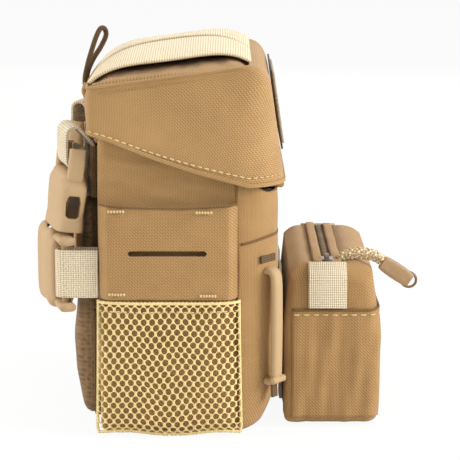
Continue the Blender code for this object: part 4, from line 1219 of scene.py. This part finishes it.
@dataclass
class Straps:
    """Webbing loops that carry the four buckle sockets, with their folded anchors."""

    thick: float = 1.9 * MM
    yaw: float = math.radians(15)
    corner: float = 3.85 * MM

    def build(self) -> None:
        """Makes upper and lower loops and the anchors on both sides."""
        for side, sign in SIDES:
            self.build_upper(side, sign)
            self.build_lower(side, sign)
            self.build_anchor(side, sign)

    def bar(self, joint: str) -> Array:
        """Where a buckle's bar runs, from its joint."""
        found = next(j for j in frame["record"]["behaviour"]["joints"] if j["name"] == joint)
        return np.array(found["pos_m"], float)

    def build_upper(self, side: str, sign: int) -> None:
        """Loop that hooks round the bar, rises to a curled crest and runs down its anchor."""
        bar = self.bar("upper_buckle_swing_" + side)
        r = self.corner
        a = np.radians(np.linspace(0, -180, 12))
        hook = np.column_stack([r * np.cos(a), r * np.sin(a)])
        c = np.radians(np.linspace(180, 50, 10))
        crest = np.column_stack([3.85 * MM * np.cos(c), 13.2 * MM + 3.85 * MM * np.sin(c)])
        plane = np.vstack([[(r, 6 * MM), (r, 2 * MM)], hook, [(-r - 0.2 * MM, 7 * MM)], crest,
                           [(9.3 * MM, 8 * MM), (9.3 * MM, 3 * MM), (9.3 * MM, -6 * MM)]])
        plane = resample(spline(plane, 90), 80)
        across = np.array([math.sin(self.yaw) * sign, math.cos(self.yaw), 0])
        out = np.array([math.cos(self.yaw), -math.sin(self.yaw) * sign, 0])
        path = bar + plane[:, :1] * out * 1.02 + plane[:, 1:] * np.array([0, 0, 1.0])
        loop = sweep(f"upper_loop_{side}", path, across, flat_section(24.5 * MM, self.thick))
        dress(loop, WEBBING, "pack", "pale_webbing", "upper_strap_" + side)

    def build_lower(self, side: str, sign: int) -> None:
        """Doubled webbing from the side seam, folded round the bar."""
        bar = self.bar("lower_buckle_swing_" + side)
        seam = lows("back_panel")[0] - 0.3 * MM - bar[0]
        r = self.corner
        a = np.radians(np.linspace(-90, -270, 14))
        fold = np.column_stack([r * 1.05 * np.cos(a), r * np.sin(a)])
        plane = np.vstack([[(seam, -r - 0.2 * MM), (seam * 0.5, -r - 0.3 * MM)], fold,
                           [(seam * 0.5, r), (seam, r)]])
        plane = spline(plane, 80)
        path = np.column_stack([bar[0] + plane[:, 0], sign * (abs(bar[1]) - plane[:, 1]), np.full(80, bar[2])])
        loop = sweep(f"lower_loop_{side}", path, (0, 0, 1), flat_section(25 * MM, self.thick))
        dress(loop, WEBBING, "pack", "pale_webbing", "lower_strap_" + side)

    def build_anchor(self, side: str, sign: int) -> None:
        """Folded fabric behind the upper loop: layers of flat tape that taper to the back panel."""
        node = "strap_anchor_" + side
        low, high = lows(node), highs(node)
        z = np.linspace(low[2], high[2], 12)
        middle = (low + high) / 2
        path = np.column_stack([middle[0] + 0.3 * MM * np.sin(z * 400), np.full(12, middle[1]), z])
        across = np.array([math.sin(self.yaw) * sign * 0.6, math.cos(self.yaw), 0])
        fold = sweep(f"loop_anchor_{side}", path, across, flat_section(23 * MM, 4.4 * MM, 0.4))
        dress(fold, TAPE, "pack", "dark_tape", node)


# ---------------------------------------------------------------- accessory pouch


@dataclass
class Pouch:
    """Zipped pouch: soft shell, slip pocket with its hem, zip, end tabs, slider and pull."""

    around: int = 240
    rear: float = field(default_factory=lambda: float(lows("pouch_back")[0]))
    front: float = field(default_factory=lambda: float(highs("pouch_front")[0]))
    half: float = field(default_factory=lambda: float(highs("pouch_side_left")[1]))
    low: float = field(default_factory=lambda: float(lows("pouch_base")[2]) - 3 * MM)
    high: float = field(default_factory=lambda: float(highs("pouch_top_rear")[2]))
    pocket: float = field(default_factory=lambda: float(highs("pouch_side_pocket_left")[2]))
    zip_x: float = field(default_factory=lambda: float(np.mean([lows("zipper_chain")[0], highs("zipper_chain")[0]])))

    def ring(self, share: float, grow: float = 0.0) -> Array:
        """Plan outline at a share of the height: slack in the middle, drawn in towards base and top."""
        swell = 1.2 * MM * math.sin(math.pi * share) + grow
        lean = -3 * MM * max(0.0, (share - 0.55) / 0.45)
        tuck = 2.5 * MM * max(0.0, share - 0.6) / 0.4
        return outline(self.rear + 0.3 * MM + tuck - swell * 0.4, self.front - 0.6 * MM + swell + lean,
                       self.half - 0.5 * MM + swell, 6 * MM, 5 * MM, self.around)

    def wall(self, start: float, end: float, steps: int, grow: float = 0.0) -> Array:
        """Walls between two shares of the height, with slack wrinkles that deepen towards the foot."""
        levels = []
        for share in np.linspace(start, end, steps):
            z = self.low + 5 * MM + share * (self.high - self.low - 8 * MM)
            levels.append(np.column_stack([self.ring(share, grow), np.full(self.around, z)]))
        points = np.stack(levels, axis=1)
        fold = ripple(points * np.array([1.5, 1.5, 0.3]), 13 * MM, 41) * 0.75 * MM
        fold += ripple(points, 48 * MM, 43) * 1.1 * MM
        fold *= smooth((1.05 - np.linspace(start, end, steps)) * 1.6)[None, :]
        way = points[..., :2] - np.array([(self.rear + self.front) / 2, 0])
        way /= np.linalg.norm(way, axis=-1)[..., None]
        points[..., :2] += way * fold[..., None]
        points[..., 0] = np.maximum(points[..., 0], self.rear - 0.2 * MM)
        return points

    def droop(self, points: Array) -> Array:
        """Lets the pouch's upper edge sink by up to 6 mm towards both ends, as a smoothstep of y and of z."""
        ends = smooth((np.abs(points[..., 1]) - 50 * MM) / (14 * MM))
        fallen = points.copy()
        fallen[..., 2] -= 6 * MM * ends * smooth((points[..., 2] - 55 * MM) / (30 * MM))
        return fallen

    def shell_points(self) -> Array:
        """Base from its middle, a soft turn, the walls, a crowned top in to the zip's opening.

        The top's rings go from the wall's outline to a long oval round the zip, rising as a quarter sine.
        """
        wall = self.wall(0, 1, 50)
        foot, head = wall[:, 0], wall[:, -1]
        middle = np.array([(self.rear + self.front) / 2, 0.0])
        base = []
        for gone, lift in ((0.96, 0), (0.6, 0), (0.25, 0), (0.11, 0.2), (0.06, 0.9), (0.025, 2.2), (0.008, 3.6)):
            base.append(np.column_stack([middle + (foot[:, :2] - middle) * (1 - gone),
                                         np.full(self.around, self.low + 0.3 * MM + lift * MM)]))
        slit = outline(self.zip_x - 5.2 * MM, self.zip_x + 5.2 * MM, self.half - 4 * MM, 5 * MM, 5 * MM, self.around)
        top = []
        for share in np.linspace(0.05, 1, 16):
            flat = head[:, :2] + (slit - head[:, :2]) * share**1.1
            rise = 3.2 * MM * math.sin(min(share * 1.5, 1) * math.pi / 2) + 1.4 * MM * math.sin(math.pi * share)
            sag = -1.5 * MM * smooth(np.array(share * 3 - 2.0))
            top.append(np.column_stack([flat, head[:, 2] + rise + sag]))
        return self.droop(np.concatenate([np.stack(base, axis=1), wall, np.stack(top, axis=1)], axis=1))

    def build(self) -> None:
        """Makes the shell, slip pocket, zip, tabs, slider and pull."""
        points = self.shell_points()
        shell = grid_surface("pouch_shell", points, closed=True)
        thicken(shell, 1.3 * MM)
        dress(shell, SHELL, "pack", "shell_fabric", "pouch_back", "pouch_front", "pouch_base", "pouch_side_left",
              "pouch_side_right", "pouch_top_rear", "pouch_top_front")
        self.build_base(points)
        self.build_pocket()
        self.build_zip()
        self.build_tabs()
        self.build_slider()
        self.build_pull()

    def build_base(self, points: Array) -> None:
        """Flat base sheet that closes the loft's small ring from inside."""
        ring = points[:, 1] + np.array([0, 0, 0.3 * MM])
        stack = np.stack([ring, ring + np.array([0, 0, 1.2 * MM])], axis=1)
        dress(grid_surface("pouch_floor", stack, closed=True, caps=True), LINING, "pack", "shell_fabric")

    def build_pocket(self) -> None:
        """Slip pocket round both ends and the front: a second skin up to the pocket's hem, with its stitch row."""
        top = (self.pocket - self.low - 5 * MM) / (self.high - self.low - 8 * MM)
        skin = self.droop(self.wall(0.0, top, 40, 0.75 * MM))
        keep = skin[:, -1, 0] > self.rear + 4 * MM
        start = int(np.argmax(keep))
        picked = skin[start : start + int(keep.sum())]
        sheet = thicken(grid_surface("slip_pocket", picked), 0.9 * MM)
        dress(sheet, SHELL, "pack", "shell_fabric", "pouch_side_pocket_left", "pouch_side_pocket_right",
              "pouch_front_pocket")
        hem = picked[:, -1]
        way = hem[:, :2] - np.array([(self.rear + self.front) / 2, 0])
        outward = np.column_stack([np.where(np.abs(hem[:, 1]) > self.half - 6 * MM, 0, np.sign(way[:, 0])),
                                   np.where(np.abs(hem[:, 1]) > self.half - 6 * MM, np.sign(way[:, 1]), 0),
                                   np.zeros(len(hem))])
        # Pocket hem in the darker seam cloth: painted shade along the fold of the hem.
        dress(sweep("pocket_hem", hem, (0, 0, 1), flat_section(1.4 * MM, 1.3 * MM)), SEAM_PAINTED_SHADE, "pack", "shell_fabric")
        row = picked[:, -3] + outward * 0.25 * MM
        dress(stitches("pocket_stitches", row, outward, 4.9 * MM, 3.2 * MM, 0.42 * MM), THREAD, "pack",
              "shell_fabric")

    def build_zip(self) -> None:
        """Zip: two tapes that dip to the coil and a coil of close turns between them."""
        low, high = lows("zipper_chain"), highs("zipper_chain")
        y = np.linspace(low[1] + 3 * MM, high[1] - 3 * MM, 100)
        z = high[2] + 0.2 * MM
        for name, sign in (("rear", -1), ("front", 1)):
            x = np.full_like(y, self.zip_x + sign * 3.2 * MM)
            path = self.droop(np.column_stack([x, y, np.full_like(y, z - 0.4 * MM)]))
            across = np.array([1, 0, -0.25 * sign])
            tape = sweep(f"zip_tape_{name}", path, across, flat_section(4.6 * MM, 0.8 * MM))
            if sign > 0:
                dress(tape, TAPE, "pack", "zip_coil", "zipper_chain")
            else:
                dress(tape, TAPE, "pack", "zip_coil")
            fold_x = np.full_like(y, self.zip_x + sign * 4.9 * MM)
            wavy = 0.4 * MM * np.sin(y * 160 + sign)
            fold = self.droop(np.column_stack([fold_x, y * 0.93, z + 1.5 * MM + wavy]))
            dress(sweep(f"zip_fold_{name}", fold, (1, 0, 0), flat_section(4.8 * MM, 2.2 * MM, 0.49)), SHELL, "pack",
                  "shell_fabric")
        turns = np.linspace(0, 1, 1100)
        phase = turns * 2 * math.pi * (y[-1] - y[0]) / (1.6 * MM)
        coil = np.column_stack([self.zip_x + 1.5 * MM * np.cos(phase), y[0] + turns * (y[-1] - y[0]),
                                z + 0.3 * MM + 0.7 * MM * np.sin(phase)])
        coil = self.droop(coil)
        dress(sweep("zip_coil", coil, (0.2, 1, 0.3), round_section(0.4 * MM, 6)), COIL, "pack", "zip_coil")

    def build_tabs(self) -> None:
        """End tabs of 20 mm webbing folded over the zip's ends and stitched down, as an L with a round knee."""
        for side, sign in SIDES:
            low, high = lows("zip_end_tab_" + side), highs("zip_end_tab_" + side)
            far = max(abs(low[1]), abs(high[1])) + 0.7 * MM
            near = min(abs(low[1]), abs(high[1]))
            top = high[2] + 0.4 * MM
            knee = 2.4 * MM
            a = np.radians(np.linspace(90, 0, 8))
            bend = np.column_stack([far - knee + knee * np.cos(a), top - knee + knee * np.sin(a)])
            plane = np.vstack([[(near - 0.8 * MM, top), (near + 1.2 * MM, top)], bend,
                               [(far, top - 8 * MM), (far, low[2])]])
            plane = resample(plane, 50)
            path = self.droop(np.column_stack([np.full(50, self.zip_x), sign * plane[:, 0], plane[:, 1]]))
            tab = sweep(f"zip_tab_{side}", path, (1, 0, 0), flat_section(high[0] - low[0], 1.3 * MM))
            dress(tab, WEBBING, "pack", "pale_webbing", "zip_end_tab_" + side)

    def build_slider(self) -> None:
        """Slider: a lower plate and a rounded bridge that the pull goes through."""
        low, high = lows("zip_slider"), highs("zip_slider")
        middle = (low + high) / 2
        y = np.linspace(low[1], high[1], 16)
        share = (y - low[1]) / (high[1] - low[1])
        body = []
        section = flat_section(1.0, 1.0, 0.3)
        for step, place in zip(share, y):
            wide = (high[0] - low[0]) * (0.78 + 0.22 * step)
            thick = (high[2] - low[2]) * 0.55
            body.append(np.column_stack([middle[0] + section[:, 0] * wide, np.full(len(section), place),
                                         low[2] + thick / 2 + section[:, 1] * thick]))
        grid = np.stack(body, axis=1)[::-1]
        dress(grid_surface("slider_body", grid, closed=True, caps=True), SLIDER, "zip_slider", "slider_metal",
              "zip_slider")
        a = np.linspace(0, math.pi, 20)
        bridge = np.column_stack([np.full(20, middle[0]), middle[1] + 3.4 * MM * np.cos(a),
                                  low[2] + 2.2 * MM + 2.1 * MM * np.sin(a)])
        dress(sweep("slider_bridge", bridge, (1, 0, 0), flat_section(2.6 * MM, 0.9 * MM)), SLIDER, "zip_slider",
              "slider_metal")

    def build_pull(self) -> None:
        """Pull: braided cord looped through the slider, a moulded grip and a thin hoop at its end."""
        joint = next(j for j in frame["record"]["behaviour"]["joints"] if j["name"] == "zip_pull_lift")
        start = np.array(joint["pos_m"], float)
        grip = 109.5 * MM
        y, z = start[1], start[2]
        upper = ((grip, -0.5, -0.2), (104, -1.6, 3.4), (96, -2.0, 4.8), (90, -1.6, 3.8), (86.6, -1.0, 1.6))
        lower = ((86.8, 1.0, -0.2), (90, 1.6, 0.3), (96, 2.0, 0.7), (104, 1.8, -0.3), (grip, 0.5, -3.2))
        route = [(grip / MM if px == grip else px, dy, dz) for px, dy, dz in upper]
        route += [(start[0] / MM, 0, 0)]
        route += [(grip / MM if px == grip else px, dy, dz) for px, dy, dz in lower]
        path = spline(np.array(route) * MM + np.array([0, y, z]), 150)
        cord = sweep("pull_cord", path, (0, 1, 0.2), round_section(1.2 * MM, 10))
        dress(cord, BRAID, "zip_pull", "braided_cord", "zip_pull_cord")
        plaits = self.build_plait(path)
        tilt = math.radians(-34)
        along = np.array([math.cos(tilt), 0, math.sin(tilt)])
        root = np.array([grip - 0.8 * MM, y, z - 2.0 * MM])
        s = np.linspace(0, 1, 24)
        line = root + s[:, None] * along * 18 * MM
        wide = (7.0 + 1.8 * np.sin(np.pi * s) ** 0.5) * MM
        section = flat_section(1.0, 1.0, 0.3)
        out = np.array([-along[2], 0, along[0]])
        thick = (4.2 - 1.2 * s) * MM
        grid = (line[None] + section[:, 0, None, None] * wide[None, :, None] * out
                + section[:, 1, None, None] * thick[None, :, None] * np.array([0, -1.0, 0]))
        tab = grid_surface("pull_grip", grid, closed=True, caps=True)
        dress(tab, GRIP, "zip_pull", "moulded_grip", "zip_pull_tab")
        a = np.linspace(-0.62 * math.pi, 0.62 * math.pi, 26)
        end = line[-1] - along * 1.2 * MM
        hoop = end + (4.2 * MM * np.cos(a))[:, None] * along + (3.9 * MM * np.sin(a))[:, None] * out
        rim = sweep("grip_hoop", hoop, (0, 1, 0), round_section(0.7 * MM, 8))
        hoop_piece = dress(rim, HOOP, "zip_pull", "moulded_grip")


    def build_plait(self, path: Array) -> list[bpy.types.Object]:
        """Three yarns plaited round the cord's path.

        Each yarn's offset is A * sin(t) across and B * sin(2t) off the path, a third of a turn apart.
        """
        s = np.concatenate([[0], np.cumsum(np.linalg.norm(np.diff(path, axis=0), axis=1))])
        way = tangents(path)
        across = np.cross(way, [0, 1.0, 0])
        across /= np.linalg.norm(across, axis=1)[:, None]
        off = np.cross(way, across)
        yarns = []
        for number in range(3):
            t = s / (7 * MM) * 2 * math.pi + number * 2 * math.pi / 3
            shift = 1.0 * MM * np.sin(t)[:, None] * across + 0.75 * MM * np.sin(2 * t)[:, None] * off
            yarn = sweep(f"plait_yarn_{number}", path + shift, (0, 1, 0.2), round_section(0.75 * MM, 7))
            yarns.append(dress(yarn, BRAID, "zip_pull", "braided_cord"))
        return yarns


@dataclass
class Buckles:
    """Sockets of side-release buckles: a hollow moulded body with latch windows, two ears and a round bar."""

    start: float = 8.5 * MM
    mouth: float = 36 * MM
    half_width: float = 19.6 * MM
    half_thick: float = 5.9 * MM
    wall: float = 1.7 * MM
    ear: float = 17.4 * MM

    def build(self) -> None:
        """Makes the four sockets, each in the frame that its joint and its frame solid give."""
        for level in ("upper", "lower"):
            for side, _ in SIDES:
                node = f"{level}_buckle_{side}"
                joints = frame["record"]["behaviour"]["joints"]
                joint = next(j for j in joints if j["name"] == f"{level}_buckle_swing_{side}")
                bar = np.array(joint["pos_m"], float)
                across = np.array(joint["axis"], float)
                across /= np.linalg.norm(across)
                source = frame["nodes"][node]
                corners = np.array([source.matrix_world @ vert.co for vert in source.data.vertices])
                along = corners.mean(axis=0) - bar
                along -= across * (along @ across)
                along /= np.linalg.norm(along)
                self.build_socket(node, bar, across, along)

    def build_socket(self, node: str, bar: Array, across: Array, along: Array) -> None:
        """Makes one socket.

        The body's section is a superellipse |a|^5 + |b|^5 = 1 whose half width opens over a shoulder, draws in at
        the latch windows and flares at the mouth. The quads inside both windows are left out before the wall is
        thickened inwards.

        Args:
            node: the frame node, which is also the body's name.
            bar: middle of the bar.
            across: unit direction along the bar.
            along: unit direction from the bar to the mouth.
        """
        normal = np.cross(across, along)
        turns = np.arange(96) * 2 * math.pi / 96
        lean = np.stack([np.cos(turns), np.sin(turns)])
        unit = np.sign(lean) * np.abs(lean) ** 0.4
        v = self.start + (self.mouth - self.start) * np.linspace(0, 1, 56)
        share = (v - self.start) / (self.mouth - self.start)
        wide = self.half_width * (0.8 + 0.2 * smooth(share / 0.22)) - 1.3 * MM * bump(share, 0.52, 0.2)
        thick = self.half_thick * (0.82 + 0.18 * smooth(share / 0.15)) - 0.6 * MM * bump(share, 0.75, 0.16)
        flat = np.stack([unit[0][:, None] * wide, unit[1][:, None] * thick], axis=-1)
        inset = flat[:, :1] * np.array([0.4, 0.8, 0.94])[None, :, None]
        flat = np.concatenate([inset, flat], axis=1)
        v = np.concatenate([np.array([-0.9, -0.7, -0.35]) * MM + v[0], v])
        points = bar + flat[..., :1] * across + flat[..., 1:] * normal + v[None, :, None] * along
        quads, _ = lattice(96, len(v), True)
        spot = np.concatenate([flat, np.broadcast_to(v[None, :, None], (96, len(v), 1))], axis=2).reshape(-1, 3)
        middle = spot[quads].mean(axis=1)
        away = (middle[:, 2] - 23 * MM) / (6.2 * MM)
        window = (np.abs(middle[:, 0]) > 15 * MM) & (away**4 + (middle[:, 1] / (3.3 * MM)) ** 4 < 1)
        faces = quads[~window].tolist() + [[i * len(v) for i in range(96)][::-1]]
        body = thicken(make_mesh(node + "_socket", points.reshape(-1, 3), faces), self.wall)
        dress(body, ACETAL, node, "moulded_acetal", node)
        for number, sign in enumerate((-1, 1)):
            line = np.array([(sign * 15.5, 13), (sign * 17.0, 8), (sign * 17.4, 3), (sign * 17.4, -2),
                             (sign * 17.1, -6.6)]) * MM
            line = spline(line, 30)
            path = bar + line[:, :1] * across + line[:, 1:] * along
            ear = sweep(f"{node}_ear_{number}", path, normal, flat_section(8.6 * MM, 4.4 * MM, 0.49))
            dress(ear, ACETAL, node, "moulded_acetal")
        rod = bar + np.linspace(-self.ear, self.ear, 12)[:, None] * across
        dress(sweep(node + "_bar", rod, along, round_section(1.8 * MM, 16)), ACETAL, node, "moulded_acetal")


# ---------------------------------------------------------------- studio


@dataclass
class Studio:
    """Camera, lamps, floor and white surroundings."""

    elevation: float = 11.0
    place: tuple[float, float, float] = (0.0287, -1.0105, 0.2907)
    lens: float = 146.4

    def build(self) -> None:
        """Makes the camera, the lamps, the floor and the world."""
        data = bpy.data.cameras.new("camera")
        data.lens = self.lens
        data.sensor_width = 36
        camera = bpy.data.objects.new("camera", data)
        camera.location = self.place
        camera.rotation_euler = (math.radians(90 - self.elevation), 0, 0)
        bpy.context.scene.collection.objects.link(camera)
        bpy.context.scene.camera = camera
        lamps = (
            ("front_side", (1.45, -0.5, 0.75), 0.8, 30.0),
            ("rear_side", (-1.5, -0.25, 0.7), 1.0, 22.0),
            ("near", (0.3, -1.7, 0.9), 1.0, 5.0),
            ("overhead", (0.1, 0.2, 1.6), 1.2, 10.0),
            ("behind", (0.2, 1.5, 0.7), 1.2, 5.0),
        )
        for name, place, size, power in lamps:
            light = bpy.data.lights.new(name, "AREA")
            light.size = size
            light.energy = power
            lamp = bpy.data.objects.new(name, light)
            lamp.location = place
            lamp.rotation_euler = (Vector((0.03, 0, 0.1)) - Vector(place)).to_track_quat("-Z", "Y").to_euler()
            bpy.context.scene.collection.objects.link(lamp)
        self.build_world()
        self.build_floor()

    def build_world(self) -> None:
        """Soft white surroundings, plain white where the camera or a reflection looks at them."""
        world = bpy.data.worlds.new("surroundings")
        world.use_nodes = True
        tree = world.node_tree
        sight = add_node(tree, "ShaderNodeLightPath")
        seen = add_node(tree, "ShaderNodeMath", {0: sight.outputs["Is Camera Ray"], 1: sight.outputs["Is Glossy Ray"]},
                        operation="MAXIMUM")
        power = add_node(tree, "ShaderNodeMapRange", {"Value": seen.outputs[0], "To Min": 0.36, "To Max": 1.0})
        back = tree.nodes["Background"]
        back.inputs[0].default_value = (1, 1, 1, 1)
        tree.links.new(power.outputs[0], back.inputs[1])
        bpy.context.scene.world = world
        bpy.context.scene.view_settings.view_transform = "Standard"

    def build_floor(self) -> None:
        """Pale floor that stays white to the camera but for a trace of shadow."""
        corners = np.array([(-4, -4, 0), (4, -4, 0), (4, 4, 0), (-4, 4, 0)], float) - np.array([0, 0, 0.0002])
        floor = make_mesh("floor", corners, [(0, 1, 2, 3)])
        made = bpy.data.materials.new("pale_floor")
        made.use_nodes = True
        tree = made.node_tree
        tree.nodes.clear()
        sight = add_node(tree, "ShaderNodeLightPath")
        seen = add_node(tree, "ShaderNodeMath", {0: sight.outputs["Is Camera Ray"], 1: sight.outputs["Is Glossy Ray"]},
                        operation="MAXIMUM")
        share = add_node(tree, "ShaderNodeMath", {0: seen.outputs[0], 1: 0.93}, operation="MULTIPLY")
        matt = add_node(tree, "ShaderNodeBsdfDiffuse", {"Color": linear("#f2f0ec")})
        glow = add_node(tree, "ShaderNodeEmission", {"Color": (1, 1, 1, 1), "Strength": 1.0})
        mix = add_node(tree, "ShaderNodeMixShader", {0: share.outputs[0], 1: matt.outputs[0], 2: glow.outputs[0]})
        add_node(tree, "ShaderNodeOutputMaterial", {0: mix.outputs[0]})
        floor.data.materials.append(made)


def main() -> None:
    """Builds the studio and the pack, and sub-assembly by sub-assembly."""
    logging.basicConfig(level=logging.INFO, format="%(name)s: %(message)s")
    Studio().build()
    PackBody().build()
    Clips().build()
    Lid().build()
    SidePockets().build()
    BackPad().build()
    Straps().build()
    Buckles().build()
    Pouch().build()


if __name__ == "__main__":
    main()
